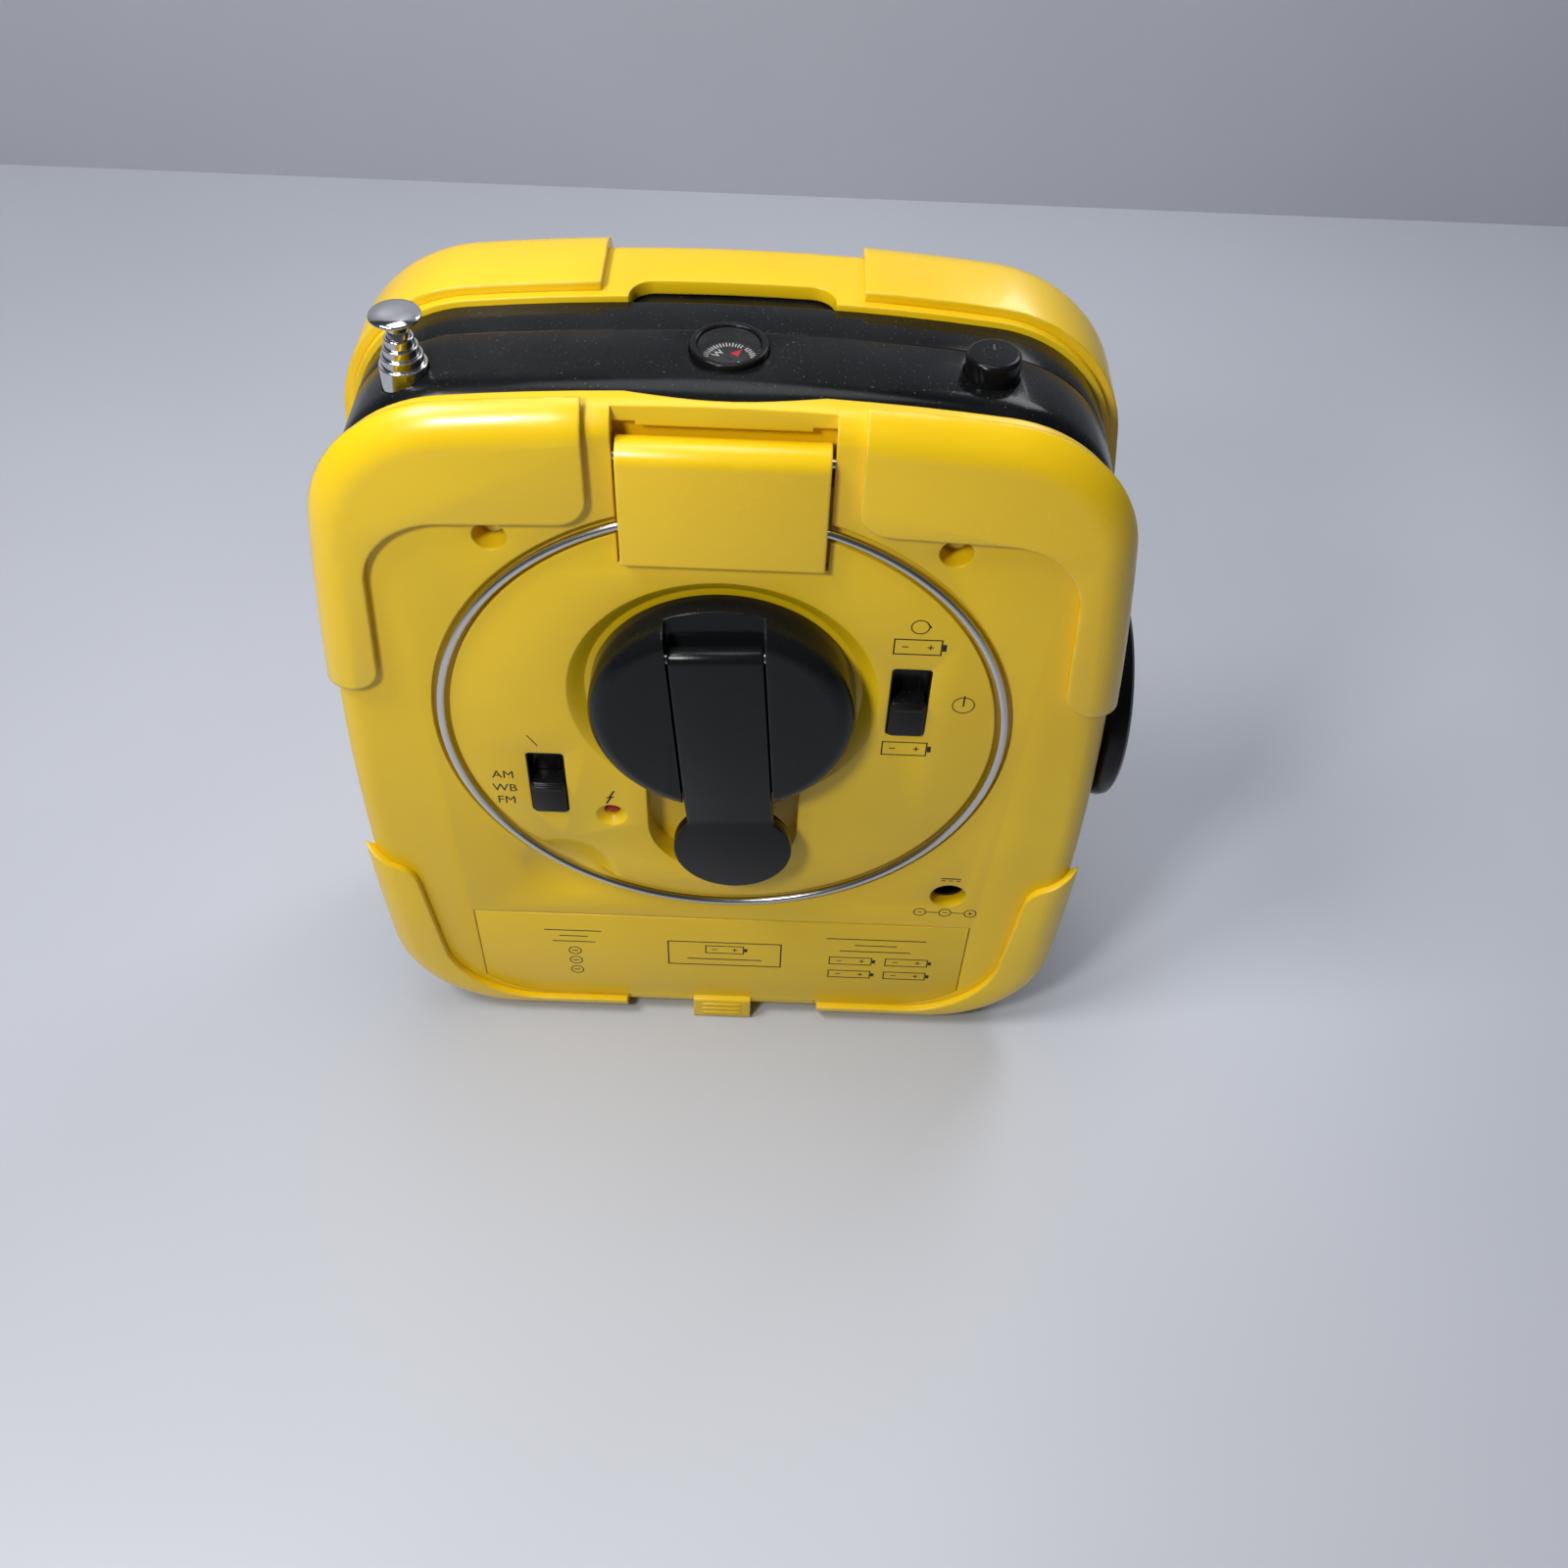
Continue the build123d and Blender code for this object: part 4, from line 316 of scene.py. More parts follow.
# ---------------------------------------------------------------- torch
# A black bezel holds a clear acrylic lens over a metallised bowl with a small lamp.
# The same clear acrylic closes the compass and the tuning dial.
def clear_plastic(name, tint, rough=0.04, solid=0.06):
    """A clear moulding: it lets light through, shines at its rim and carries wiping marks."""
    material = bpy.data.materials.new(name)
    material.use_nodes = True
    tree = material.node_tree
    shader = tree.nodes["Principled BSDF"]
    marks = placed(tree, SCRATCHES, Amount=0.3)
    smear = ramp(tree, noise(tree, 120.0, 4.0), 0.4, 0.8, rough, rough + 0.08)
    tree.links.new(maths(tree, "ADD", smear, marks.outputs["Mask"]), shader.inputs["Roughness"])
    shade = mixed(tree, ramp(tree, noise(tree, 40.0, 2.0), 0.3, 0.7), tint,
                  tuple(0.93 * c for c in tint))
    tree.links.new(shade, shader.inputs["Base Color"])
    through = node(tree, "ShaderNodeBsdfTransparent")
    rim = node(tree, "ShaderNodeFresnel", IOR=1.3)
    cover = maths(tree, "ADD", maths(tree, "ADD", rim.outputs[0], solid),
                  maths(tree, "MULTIPLY", marks.outputs["Mask"], 0.2))
    side = node(tree, "ShaderNodeNewGeometry")
    outer_face = maths(tree, "SUBTRACT", 1.0, side.outputs["Backfacing"])
    cover = maths(tree, "MULTIPLY", cover, outer_face)
    blend = node(tree, "ShaderNodeMixShader", [(0, cover), (1, through.outputs[0]),
                                              (2, shader.outputs[0])])
    tree.links.new(blend.outputs[0], tree.nodes["Material Output"].inputs["Surface"])
    return material


lens_clear = clear_plastic("lens_clear", (0.20, 0.21, 0.22))
paint(lens_clear, "torch_lens", "torch_bulb", "compass_lens", "dial_window")

# ---------------------------------------------------------------- charging light
# A red domed lens at the bottom of a countersunk hole in the rear shell.
# It is moulded in tinted acrylic, and darker than the clear lenses.
led_red = clear_plastic("led_red", (0.45, 0.01, 0.008), 0.12, 0.75)
paint(led_red, "charging_led")

# ---------------------------------------------------------------- inside pieces
# Acetal gears and a brass pinion drive a generator in a drawn can. The board, the cells in
# their jackets and the speaker lie round it, each in the finish that it is bought in.
for label, colour, rough, metal, names in (
        ("acetal_white", (0.78, 0.77, 0.72), (0.35, 0.5), 0.0, ("crank_gear", "idler_gear")),
        ("turned_brass", (0.62, 0.42, 0.15), (0.2, 0.35), 1.0, ("generator_pinion",)),
        ("drawn_can", (0.45, 0.45, 0.46), (0.25, 0.4), 1.0, ("generator", "button_cell")),
        ("nickel_strip", (0.6, 0.58, 0.52), (0.2, 0.35), 1.0, ("battery_contacts",)),
        ("cell_jacket", (0.03, 0.035, 0.05), (0.25, 0.35), 0.0, ("dry_cells",)),
        ("shrink_wrap", (0.03, 0.12, 0.05), (0.2, 0.3), 0.0, ("rechargeable_pack",)),
        ("board_laminate", (0.02, 0.11, 0.045), (0.3, 0.45), 0.0, ("main_board",)),
        ("ground_ferrite", (0.03, 0.03, 0.033), (0.5, 0.7), 0.0, ("ferrite_rod",)),
        ("speaker_cone", (0.02, 0.02, 0.02), (0.6, 0.8), 0.0, ("speaker",)),
        ("dial_matt", (0.008, 0.008, 0.009), (0.4, 0.5), 0.0, ("compass_card", "dial_disc"))):
    paint(finish_material(label, colour, rough=rough, metallic=metal, depth=0.006, dust=0.05),
          *names)

# ---------------------------------------------------------------- marks printed and moulded on
# The marks on the case are pad-printed in black ink, which stands a few hundredths of a
# millimetre proud. They are short lines, letters and plain signs beside what they explain.
ink_black = finish_material(
    "ink_black", (0.012, 0.012, 0.012), rough=(0.4, 0.5), depth=0.003, dust=0.05, specular=0.3)
ink_white = finish_material(
    "ink_white", (0.62, 0.62, 0.60), rough=(0.4, 0.5), depth=0.003, dust=0.05)
ink_red = finish_material(
    "ink_red", (0.55, 0.015, 0.012), rough=(0.4, 0.5), depth=0.003, dust=0.05)
INK = 0.04 * MM
shell_low, shell_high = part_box("rear_shell")
mid_x = (shell_low.x + shell_high.x) / 2
face_y = shell_low.y
mid_y = face_y + 25 * MM
ON_REAR = Matrix(((1, 0, 0), (0, 0, -1), (0, 1, 0))).to_4x4()
ON_FRONT = Matrix(((-1, 0, 0), (0, 0, 1), (0, 1, 0))).to_4x4()


def at(x, y, z):
    """A place in case millimetres: x from the centre, y from the middle plane, z from the base."""
    return Matrix.Translation((mid_x + x * MM, mid_y + y * MM, z * MM))


def add_bar(work, place, x, y, wide, high, turn=0.0, thick=INK):
    """A flat bar in a bmesh, centred at x, y millimetres in the plane of place."""
    matrix = place @ Matrix.Translation((x * MM, y * MM, 0)) @ Matrix.Rotation(
        radians(turn), 4, "Z") @ Matrix.Diagonal((wide * MM, high * MM, thick, 1))
    bmesh.ops.create_cube(work, size=1.0, matrix=matrix)


def add_ring(work, place, x, y, radius, line=0.2, segments=28):
    """A thin printed circle."""
    for step in range(segments):
        angle = 360 * step / segments
        add_bar(work, place, x + radius * cos(radians(angle)), y + radius * sin(radians(angle)),
                line, 2 * pi * radius / segments * 1.05, angle)


def add_frame(work, place, x, y, wide, high, line=0.25):
    """A printed rectangle's outline."""
    for side in (-1, 1):
        add_bar(work, place, x, y + side * high / 2, wide + line, line)
        add_bar(work, place, x + side * wide / 2, y, line, high)


def add_text(work, place, words, x, y, size, turn=0.0):
    """Plain lettering, centred at x, y millimetres."""
    letters = bpy.data.curves.new("letters", "FONT")
    letters.body = words
    letters.size = size * MM
    letters.align_x = "CENTER"
    letters.align_y = "CENTER"
    letters.extrude = INK / 2
    letters.resolution_u = 3
    holder = bpy.data.objects.new("letters", letters)
    flat = bpy.data.meshes.new_from_object(holder)
    flat.transform(place @ Matrix.Translation((x * MM, y * MM, 0)) @ Matrix.Rotation(
        radians(turn), 4, "Z"))
    work.from_mesh(flat)
    bpy.data.meshes.remove(flat)
    bpy.data.objects.remove(holder)
    bpy.data.curves.remove(letters)


def add_battery(work, place, x, y, wide, high):
    """The plain sign for a cell: a case outline, a terminal, a plus and a minus."""
    add_frame(work, place, x, y, wide, high)
    add_bar(work, place, x + wide / 2 + 0.5, y, 0.7, high * 0.45)
    add_bar(work, place, x + wide * 0.27, y, 1.1, 0.22)
    add_bar(work, place, x + wide * 0.27, y, 0.22, 1.1)
    add_bar(work, place, x - wide * 0.27, y, 1.1, 0.22)


rear_print = bmesh.new()
rear_face = at(0, -25, 0) @ ON_REAR
band_low, band_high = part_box("band_slider")
source_low, source_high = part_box("source_slider")
band_x = ((band_low.x + band_high.x) / 2 - mid_x) / MM
source_x = ((source_low.x + source_high.x) / 2 - mid_x) / MM
band_z = band_low.z / MM + 7.9
source_z = source_low.z / MM + 7.9
for words, level in (("AM", 1.8), ("WB", -1.9), ("FM", -5.4)):
    add_text(rear_print, rear_face, words, band_x - 8.2, band_z + level, 2.9)
add_bar(rear_print, rear_face, band_x - 1.9, band_z + 11.6, 0.2, 3.2, 32)
add_battery(rear_print, rear_face, source_x + 0.3, source_z + 13.6, 8.0, 3.4)
add_ring(rear_print, rear_face, source_x + 0.3, source_z + 18.2, 1.5)
add_bar(rear_print, rear_face, source_x + 1.8, source_z + 18.6, 0.25, 1.2, 35)
add_battery(rear_print, rear_face, source_x + 0.3, source_z - 11.8, 8.0, 3.4)
add_ring(rear_print, rear_face, source_x + 9.6, source_z, 1.9)
add_bar(rear_print, rear_face, source_x + 9.6, source_z + 1.0, 0.3, 2.6)
spark_x, spark_z = -21.2, 74.2          # the spark sign over the charging light
for step in (0.9, -0.9):
    add_bar(rear_print, rear_face, spark_x + step * 0.35, spark_z + step, 0.35, 2.2, -28)
add_bar(rear_print, rear_face, spark_x, spark_z, 1.5, 0.3, 20)
socket_x = 45.7
current_z = 52.8                        # the sign for direct current over the socket
add_bar(rear_print, rear_face, socket_x, current_z, 4.0, 0.3)
for offset in (-1.5, 0, 1.5):
    add_bar(rear_print, rear_face, socket_x + offset, current_z - 0.7, 0.9, 0.25)
pole_z = 41.3                           # the sign for the plug's poles under it
pole_apart = 5.2
for offset in (-pole_apart, 0, pole_apart):
    add_ring(rear_print, rear_face, socket_x + offset, pole_z, 1.2, 0.22)
    add_bar(rear_print, rear_face, socket_x + offset, pole_z, 1.0, 0.22)
add_bar(rear_print, rear_face, socket_x + pole_apart, pole_z, 0.22, 1.0)
for side in (-1, 1):
    add_bar(rear_print, rear_face, socket_x + side * pole_apart / 2, pole_z, 2.4, 0.22)
finished(rear_print, "rear_print", "case", ink_black)


# ---------------------------------------------------------------- battery door marks
# The door is printed in the same ink, and shows which cell goes where by plain outlines
# with their poles. Three ribs moulded on its latch tab give the thumb a grip.
door_print = bmesh.new()
for level in (25.5, 20.5):
    for x in (27.5, 39.5):
        add_battery(door_print, rear_face, x, level - 3, 9.0, 2.6)
for line, wide in ((30.6, 21.0), (28.4, 9.0), (26.2, 15.0)):
    add_bar(door_print, rear_face, 32.5, line, wide, 0.3)
add_frame(door_print, rear_face, 0.5, 23.4, 24, 8.4, 0.3)
add_battery(door_print, rear_face, 0.5, 25.0, 8.0, 2.6)
add_bar(door_print, rear_face, 0.5, 21.4, 16.0, 0.3)
for line, wide in ((30.2, 12.0), (28.2, 6.0), (26.2, 9.0)):
    add_bar(door_print, rear_face, -31.5, line, wide, 0.3)
for level in (22.8, 19.2, 15.6):
    add_ring(door_print, rear_face, -31.5, level, 1.3, 0.22)
    add_bar(door_print, rear_face, -31.5, level, 1.3, 0.25)
finished(door_print, "door_print", "door", ink_black)

tab_ribs = bmesh.new()
for level in (2.2, 3.8, 5.4):
    add_bar(tab_ribs, at(0, -26.2, 0) @ ON_REAR, 0, level, 8.4, 0.6, thick=0.5 * MM)
bmesh.ops.bevel(tab_ribs, geom=tab_ribs.edges[:], offset=0.12 * MM, segments=2, profile=0.5,
                affect="EDGES", material=-1)
finished(tab_ribs, "tab_ribs", "door", shell_yellow)

# ---------------------------------------------------------------- slide switches
# A black frame lines each slot; the cap has a raised rib across its upper end to push on.
for label, body, centre_x, centre_z, low, high in (
        ("band", "band_selector", band_x, band_z, band_low, band_high),
        ("source", "source_selector", source_x, source_z, source_low, source_high)):
    liner = bmesh.new()
    for side in (-1, 1):
        add_bar(liner, at(0, -23.5, 0) @ ON_REAR, centre_x + side * 3.38, centre_z, 0.22, 16.3,
                thick=2.9 * MM)
        add_bar(liner, at(0, -23.5, 0) @ ON_REAR, centre_x, centre_z + side * 8.13, 6.6, 0.22,
                thick=2.9 * MM)
    add_bar(liner, at(0, -21.95, 0) @ ON_REAR, centre_x, centre_z, 6.9, 16.4, thick=0.06 * MM)
    finished(liner, f"{label}_slot_frame", "case", control_black)
    cap = bmesh.new()
    cap_level = low.z / MM + 4.2
    add_bar(cap, at(0, -23.9, 0) @ ON_REAR, centre_x, cap_level, 6.3, 8.3, thick=3.6 * MM)
    bmesh.ops.bevel(cap, geom=[e for e in cap.edges if abs((e.verts[0].co - e.verts[1].co).y) > MM],
                    offset=0.7 * MM, segments=3, profile=0.5, affect="EDGES", material=-1)
    bmesh.ops.bevel(cap, geom=[e for e in cap.edges if max(v.co.y for v in e.verts) < mid_y - 25.5 * MM],
                    offset=0.35 * MM, segments=3, profile=0.5, affect="EDGES", material=-1)
    rib = bmesh.ops.create_cube(
        cap, size=1.0, matrix=at(centre_x, -25.9, cap_level + 3.2) @ Matrix.Diagonal(
            (5.2 * MM, 0.9 * MM, 1.1 * MM, 1)))
    bmesh.ops.bevel(cap, geom=list({e for v in rib["verts"] for e in v.link_edges}),
                    offset=0.3 * MM, segments=3, profile=0.5, affect="EDGES", material=-1)
    finished(cap, f"{label}_cap", body, control_black, [f"{label}_slider"])

# ---------------------------------------------------------------- compass
# A black card turns under a clear lens: fine ticks, three letters and a red arrow for north.
card_low, card_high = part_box("compass_card")
card_face = Matrix.Translation(((card_low.x + card_high.x) / 2, (card_low.y + card_high.y) / 2,
                                card_high.z + INK / 2)) @ Matrix.Rotation(radians(-36), 4, "Z")
card_ticks = bmesh.new()
for step in range(48):
    angle = 7.5 * step
    if min(angle, 360 - angle) > 5:
        long = 1.0 if step % 2 == 0 else 0.8
        add_bar(card_ticks, card_face, 3.75 * sin(radians(angle)), 3.75 * cos(radians(angle)),
                0.22, long, -angle)
for words, angle in (("E", 90), ("S", 180), ("W", 270)):
    add_text(card_ticks, card_face, words, 2.15 * sin(radians(angle)), 2.15 * cos(radians(angle)),
             1.9, -angle)
finished(card_ticks, "compass_marks", "compass", ink_white)
north = bmesh.new()
arrow = [north.verts.new(card_face @ Vector((x * MM, y * MM, 0))) for x, y in (
    (-0.75, 1.2), (0.75, 1.2), (0.0, 3.3))]
raised = bmesh.ops.extrude_face_region(north, geom=[north.faces.new(arrow)])
bmesh.ops.translate(north, vec=(0, 0, INK), verts=[
    v for v in raised["geom"] if isinstance(v, bmesh.types.BMVert)])
bmesh.ops.recalc_face_normals(north, faces=north.faces[:])
finished(north, "compass_north", "compass", ink_red)

# ---------------------------------------------------------------- power button mark
# The usual sign for on and off, a ring broken at the top by a bar, is printed in grey
# on the button's domed black face.
button_low, button_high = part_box("power_button")
button_face = Matrix.Translation(((button_low.x + button_high.x) / 2,
                                  (button_low.y + button_high.y) / 2, button_high.z + INK / 2))
power_sign = bmesh.new()
for step in range(6, 55):
    angle = 6 * step
    add_bar(power_sign, button_face, 1.6 * sin(radians(angle)), 1.6 * cos(radians(angle)),
            0.2, 0.28, 90 - angle)
add_bar(power_sign, button_face, 0, 1.4, 0.28, 1.5)
finished(power_sign, "power_sign", "power", finish_material(
    "ink_grey", (0.10, 0.10, 0.10), rough=(0.4, 0.5), depth=0.003))

# ---------------------------------------------------------------- antenna tip
# The last rod ends in a mushroom knob, turned from brass and plated, that pulls all the
# sections out and keeps the antenna from sinking into the case.
tip_low, tip_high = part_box("antenna_tip")
tip_axis = Vector(((tip_low.x + tip_high.x) / 2, (tip_low.y + tip_high.y) / 2, 0))
cap_radius = (tip_high.x - tip_low.x) / 2 / MM
tip_top = tip_high.z / MM
turned = bmesh.new()
tip_profile = [(0.0, tip_low.z / MM), (1.7, tip_low.z / MM), (1.7, tip_top - 3.6)]
tip_profile += [(1.5, tip_top - 3.2), (1.6, tip_top - 2.6), (cap_radius - 0.8, tip_top - 1.5)]
tip_profile += [(cap_radius + 0.35 * sin(radians(a)) - 0.35, tip_top - 0.85 - 0.35 * cos(radians(a)))
                for a in (30, 60, 90, 120, 150)]
tip_profile += [(cap_radius * 0.6, tip_top - 0.12), (cap_radius * 0.3, tip_top - 0.03),
                (0.0, tip_top)]
tip_verts = [turned.verts.new(tip_axis + Vector((x * MM, 0, z * MM))) for x, z in tip_profile]
tip_edges = [turned.edges.new(pair) for pair in zip(tip_verts, tip_verts[1:])]
bmesh.ops.spin(turned, geom=tip_verts + tip_edges, cent=tip_axis, axis=(0, 0, 1), angle=2 * pi,
               steps=48, use_merge=True)
bmesh.ops.remove_doubles(turned, verts=turned.verts, dist=1e-6)
bmesh.ops.recalc_face_normals(turned, faces=turned.faces[:])
finished(turned, "antenna_knob", "antenna_4", antenna_chrome, ["antenna_tip"])

# ---------------------------------------------------------------- clock
# A grey-green liquid-crystal panel sits behind an opening in the front shell.
# Its seven-bar figures show twelve o'clock.
display_glass = finish_material(
    "display_glass", (0.30, 0.34, 0.28), (0.27, 0.31, 0.25), (0.12, 0.2), depth=0.002, dust=0.1,
    coat=0.5)
paint(display_glass, "clock_display")
clock_low, clock_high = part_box("clock_display")
clock_face = Matrix.Translation(((clock_low.x + clock_high.x) / 2, clock_high.y + INK,
                                 (clock_low.z + clock_high.z) / 2)) @ ON_FRONT
# the seven bars of a figure: x, y and turn, in the order top, three middles, base, sides
BARS = {"a": (0, 4, 0), "b": (1.8, 2, 90), "c": (1.8, -2, 90), "d": (0, -4, 0),
        "e": (-1.8, -2, 90), "f": (-1.8, 2, 90), "g": (0, 0, 0)}
digits = bmesh.new()
for place_x, lit in ((-11.5, "bc"), (-4.6, "abged"), (4.6, "abcdef"), (11.5, "abcdef")):
    for name in lit:
        x, y, turn = BARS[name]
        add_bar(digits, clock_face, place_x + x, y, 3.0, 0.7, turn)
for y in (-1.6, 1.6):
    add_bar(digits, clock_face, 0, y, 0.8, 0.8)
finished(digits, "clock_digits", "case", ink_black)

# ---------------------------------------------------------------- tuning and volume
# Two fluted black knobs are pushed on their shafts. The tuning knob also carries a dial
# disc with a printed scale, read against a red line behind its window.
def fluted_knob(name, body, cad_node, flutes, mark):
    """A knob with flutes round its side, a dished face and a shaft behind."""
    low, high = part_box(cad_node)
    centre = Vector(((low.x + high.x) / 2, 0, (low.z + high.z) / 2))
    radius = (high.x - low.x) / 2
    work = bmesh.new()
    steps = 4 * flutes
    rim = []
    for step in range(steps):
        deep = radius - (0.35 * MM if step % 4 >= 2 else 0)
        angle = 2 * pi * step / steps
        rim.append(work.verts.new(
            centre + Vector((deep * cos(angle), mid_y + 25.4 * MM, deep * sin(angle)))))
    disc = work.faces.new(rim)
    outer = bmesh.ops.extrude_face_region(work, geom=[disc])
    moved = [v for v in outer["geom"] if isinstance(v, bmesh.types.BMVert)]
    bmesh.ops.translate(work, verts=moved, vec=(0, high.y - mid_y - 25.4 * MM - 0.7 * MM, 0))
    top = [f for f in outer["geom"] if isinstance(f, bmesh.types.BMFace)]
    for thickness, depth in ((0.6 * MM, 0.6 * MM), (1.2 * MM, 0.1 * MM), (0.5 * MM, -0.6 * MM)):
        bmesh.ops.inset_region(work, faces=top, thickness=thickness, depth=depth,
                               use_even_offset=False)
    bmesh.ops.recalc_face_normals(work, faces=work.faces[:])
    shaft = Matrix.Translation(centre + Vector((0, (low.y + mid_y + 26 * MM) / 2, 0))) @ \
        Matrix.Rotation(radians(90), 4, "X")
    bmesh.ops.create_cone(work, cap_ends=True, segments=32, radius1=2 * MM, radius2=2 * MM,
                          depth=mid_y + 26 * MM - low.y, matrix=shaft)
    finished(work, name, body, control_black, [cad_node])
    line = bmesh.new()
    add_bar(line, Matrix.Translation((centre.x, high.y - 0.05 * MM, centre.z)) @ ON_FRONT,
            0, mark, 0.7, 2.2, thick=0.2 * MM)
    finished(line, name + "_line", body, ink_white)


fluted_knob("tuning_grip", "tuning", "tuning_knob", 36, 7.2)
fluted_knob("volume_grip", "volume", "volume_knob", 30, 5.6)
disc_low, disc_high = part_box("dial_disc")
disc_face = Matrix.Translation(((disc_low.x + disc_high.x) / 2, disc_high.y + INK / 2,
                                (disc_low.z + disc_high.z) / 2)) @ ON_FRONT
dial_scale = bmesh.new()
for step in range(-30, 31):
    angle = 3.2 * step
    add_bar(dial_scale, disc_face, 15.3 * sin(radians(angle)), 15.3 * cos(radians(angle)),
            0.2, 1.6 if step % 5 == 0 else 0.9, -angle)
for number, angle in (("54", -80), ("60", -56), ("70", -32), ("90", -8), ("120", 18), ("140", 46),
                      ("160", 76)):
    add_text(dial_scale, disc_face, number, 13.0 * sin(radians(angle)),
             13.0 * cos(radians(angle)), 2.0, -angle)
finished(dial_scale, "dial_scale", "tuning", ink_white)
window_low, window_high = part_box("dial_window")
pointer = bmesh.new()
add_bar(pointer, Matrix.Translation(((window_low.x + window_high.x) / 2, window_low.y - 0.2 * MM,
                                     (window_low.z + window_high.z) / 2)) @ ON_FRONT,
        0, 0, 0.35, 5.6, thick=0.1 * MM)
finished(pointer, "dial_pointer", "case", ink_red)

# ---------------------------------------------------------------- marks on the front
# A printed scale runs round the volume knob, with plain signs over the clock keys and
# outlines round the window and the clock, all in the same ink as the rear.
front_face = at(0, 25, 0) @ ON_FRONT
front_print = bmesh.new()
volume_low, volume_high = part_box("volume_knob")
volume_x = (mid_x - (volume_low.x + volume_high.x) / 2) / MM
volume_z = (volume_low.z + volume_high.z) / 2 / MM
for step in range(11):
    angle = -140 + 28 * step
    add_bar(front_print, front_face, volume_x + 10.4 * sin(radians(angle)),
            volume_z + 10.4 * cos(radians(angle)), 0.3, 1.0 + 0.12 * step, -angle)
for words, angle in (("0", -140), ("5", 0), ("10", 140)):
    add_text(front_print, front_face, words, volume_x + 13.2 * sin(radians(angle)),
             volume_z + 13.2 * cos(radians(angle)), 2.4)
window_x = (mid_x - (window_low.x + window_high.x) / 2) / MM
window_z = (window_low.z + window_high.z) / 2 / MM
add_frame(front_print, front_face, window_x, window_z, 19.6, 7.6, 0.3)
set_low, set_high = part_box("clock_set_key")
mode_low, mode_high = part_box("clock_mode_key")
for low, high, turn in ((set_low, set_high, 0), (mode_low, mode_high, 90)):
    key_x = (mid_x - (low.x + high.x) / 2) / MM
    add_bar(front_print, front_face, key_x, 50.6, 1.6, 0.3)
    add_bar(front_print, front_face, key_x, 50.6, 0.3, 1.6 if turn else 0.3)
add_frame(front_print, front_face, (mid_x - (clock_low.x + clock_high.x) / 2) / MM,
          (clock_low.z + clock_high.z) / 2 / MM, 38.6, 17.6, 0.35)
finished(front_print, "front_print", "case", ink_black)

# ---------------------------------------------------------------- camera, floor and light
# A three-quarter view from above the crank side, a pale table and a soft light from the left.
yaw, pitch, roll = 0.0159, 0.8604, 0.0496
forward = Vector((sin(yaw) * cos(pitch), cos(yaw) * cos(pitch), -sin(pitch)))
level_right = Vector((cos(yaw), -sin(yaw), 0))
level_up = level_right.cross(forward)
right = cos(roll) * level_right + sin(roll) * level_up
up = cos(roll) * level_up - sin(roll) * level_right
camera = bpy.data.objects.new("camera", bpy.data.cameras.new("camera"))
camera.data.lens = 34.67                # millimetres
camera.data.sensor_width = 36
camera_x, camera_y, camera_z = 8.49, -207.94, 292.63     # from the case's middle, millimetres
camera.data.clip_start = 0.01
camera.matrix_world = Matrix.Translation(
    (mid_x + camera_x * MM, mid_y + camera_y * MM, camera_z * MM)) @ Matrix(
    (right, up, -forward)).transposed().to_4x4()
bpy.context.scene.collection.objects.link(camera)
bpy.context.scene.camera = camera

table = bpy.data.materials.new("pale_table")
table.use_nodes = True
table_tree = table.node_tree
table_shader = table_tree.nodes["Principled BSDF"]
table_tone = mixed(
    table_tree, ramp(table_tree, noise(table_tree, 5.0, 3.0), 0.3, 0.7), (0.49, 0.51, 0.57),
    (0.53, 0.55, 0.61))
table_tree.links.new(table_tone, table_shader.inputs["Base Color"])
table_shader.inputs["Roughness"].default_value = 0.38
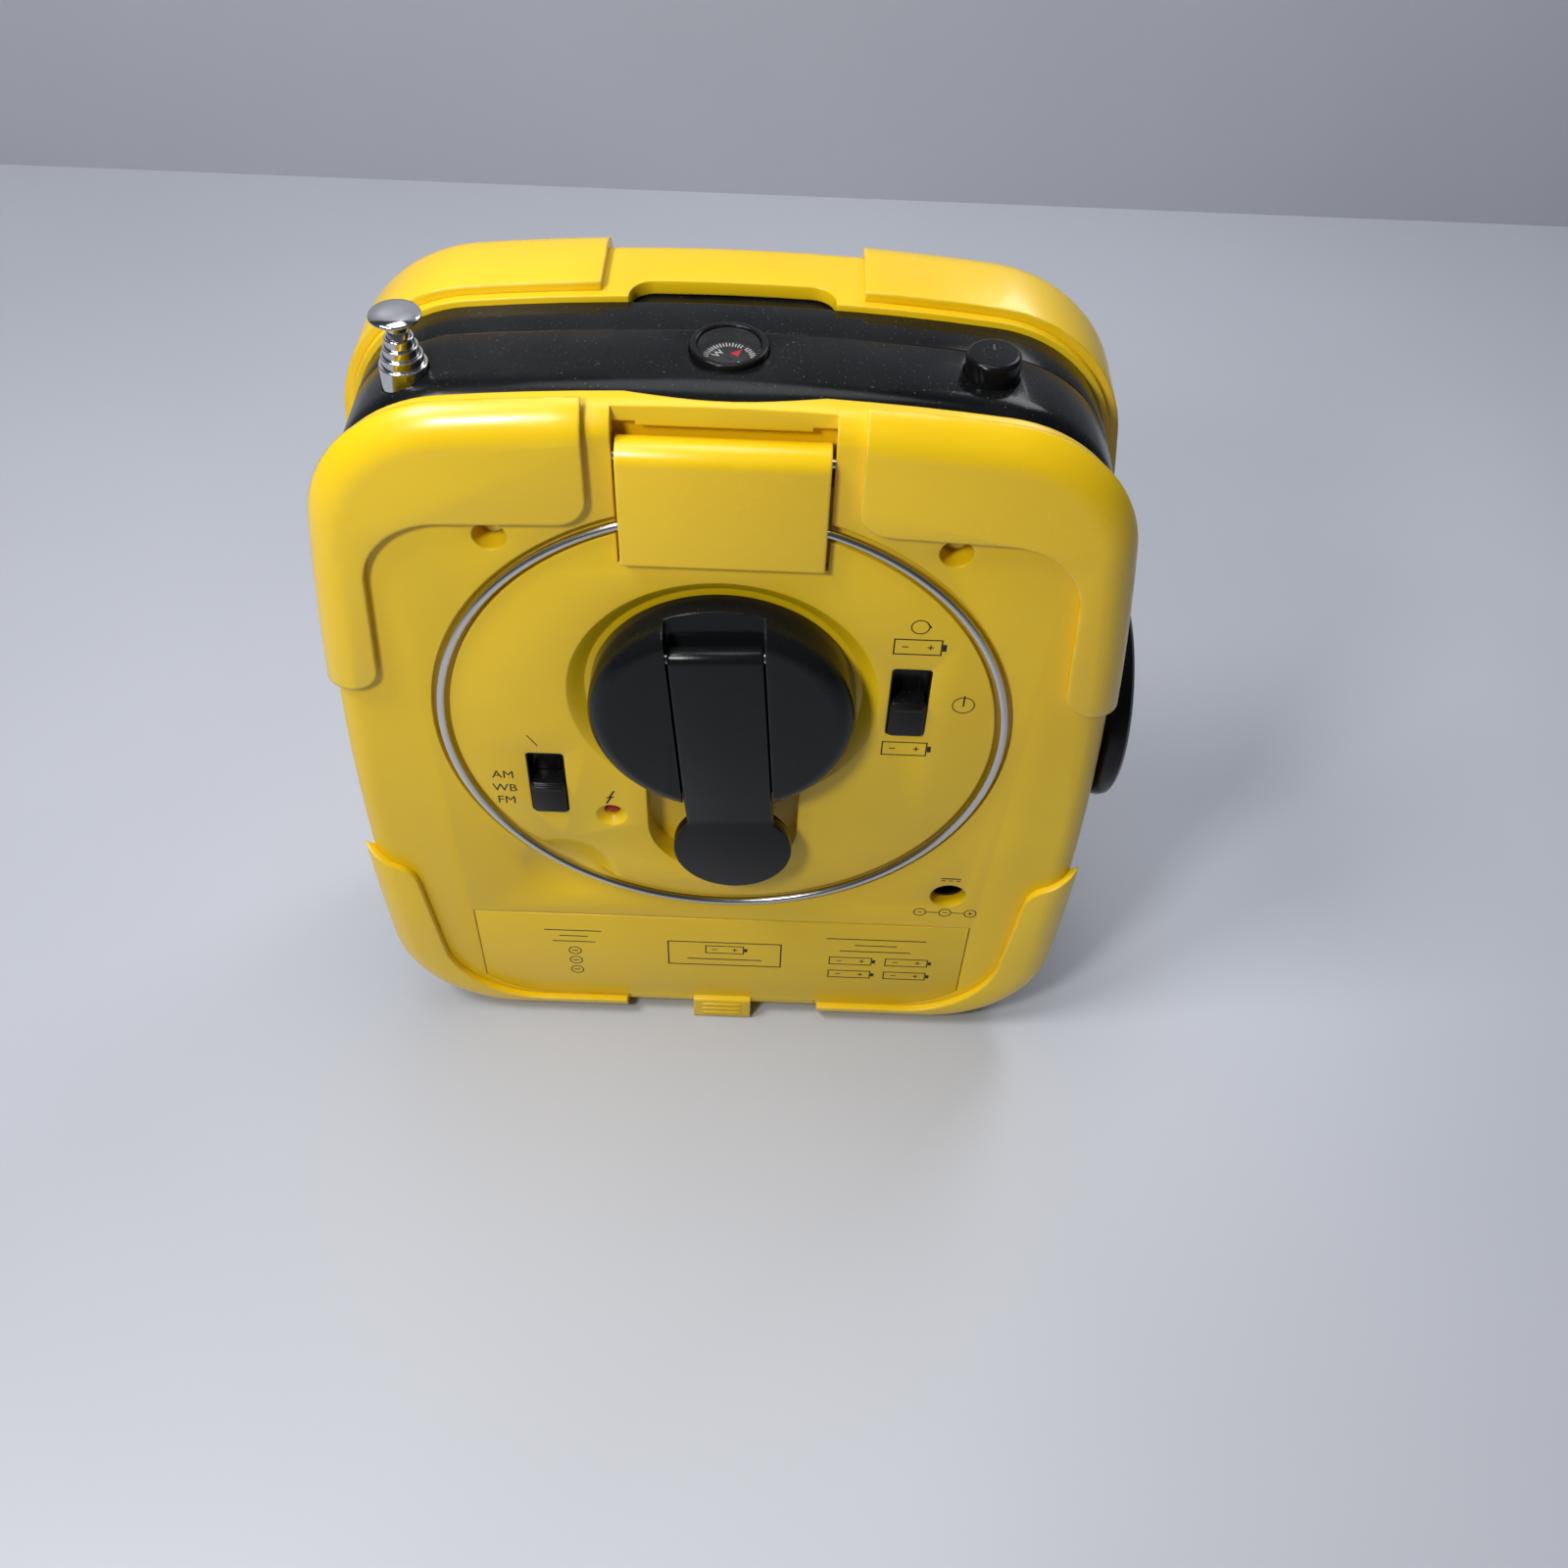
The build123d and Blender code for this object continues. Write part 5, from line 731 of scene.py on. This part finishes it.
# the paper is seen from its face only, so the object can also be looked at from behind it
table_back = node(table_tree, "ShaderNodeNewGeometry")
table_clear = node(table_tree, "ShaderNodeBsdfTransparent")
table_blend = node(table_tree, "ShaderNodeMixShader", [
    (0, table_back.outputs["Backfacing"]), (1, table_shader.outputs[0]),
    (2, table_clear.outputs[0])])
table_tree.links.new(
    table_blend.outputs[0], table_tree.nodes["Material Output"].inputs["Surface"])
for label, corners in (
        ("floor", [(-3, -3, 0), (3, -3, 0), (3, 3, 0), (-3, 3, 0)]),
        ("wall", [(-3, 0.332, 0), (3, 0.352, 0), (3, 0.352, 2.5), (-3, 0.332, 2.5)])):
    sheet = bmesh.new()
    sheet.faces.new([sheet.verts.new(corner) for corner in corners])
    sheet_mesh = bpy.data.meshes.new(label)
    sheet.to_mesh(sheet_mesh)
    sheet.free()
    sheet_mesh.materials.append(table)
    stage_piece = bpy.data.objects.new(label, sheet_mesh)
    bpy.context.scene.collection.objects.link(stage_piece)

for label, place, aim, size, power, colour in (
        ("key", (-0.42, -0.18, 0.80), (0, 0, 0.08), 0.22, 3.4, (1.0, 0.98, 0.95)),
        ("top", (-0.05, 0.05, 0.95), (0, 0, 0.08), 0.4, 2.2, (0.93, 0.96, 1.0)),
        ("behind", (0.22, 0.27, 0.42), (0, 0, 0.09), 0.15, 0.45, (0.95, 0.97, 1.0)),
        ("near", (-0.14, -0.24, 0.36), (0, 0, 0.11), 0.06, 0.75, (1.0, 0.99, 0.96))):
    lamp = bpy.data.lights.new(label, "AREA")
    lamp.size = size
    lamp.energy = power
    lamp.color = colour
    lamp_object = bpy.data.objects.new(label, lamp)
    lamp_object.location = place
    lamp_object.rotation_mode = "QUATERNION"
    lamp_object.rotation_quaternion = (Vector(aim) - Vector(place)).to_track_quat("-Z", "Y")
    bpy.context.scene.collection.objects.link(lamp_object)
world = bpy.data.worlds.new("room")
world.use_nodes = True
world.node_tree.nodes["Background"].inputs["Color"].default_value = (0.62, 0.67, 0.78, 1)
world.node_tree.nodes["Background"].inputs["Strength"].default_value = 0.11
bpy.context.scene.world = world
bpy.context.scene.view_settings.view_transform = "Standard"
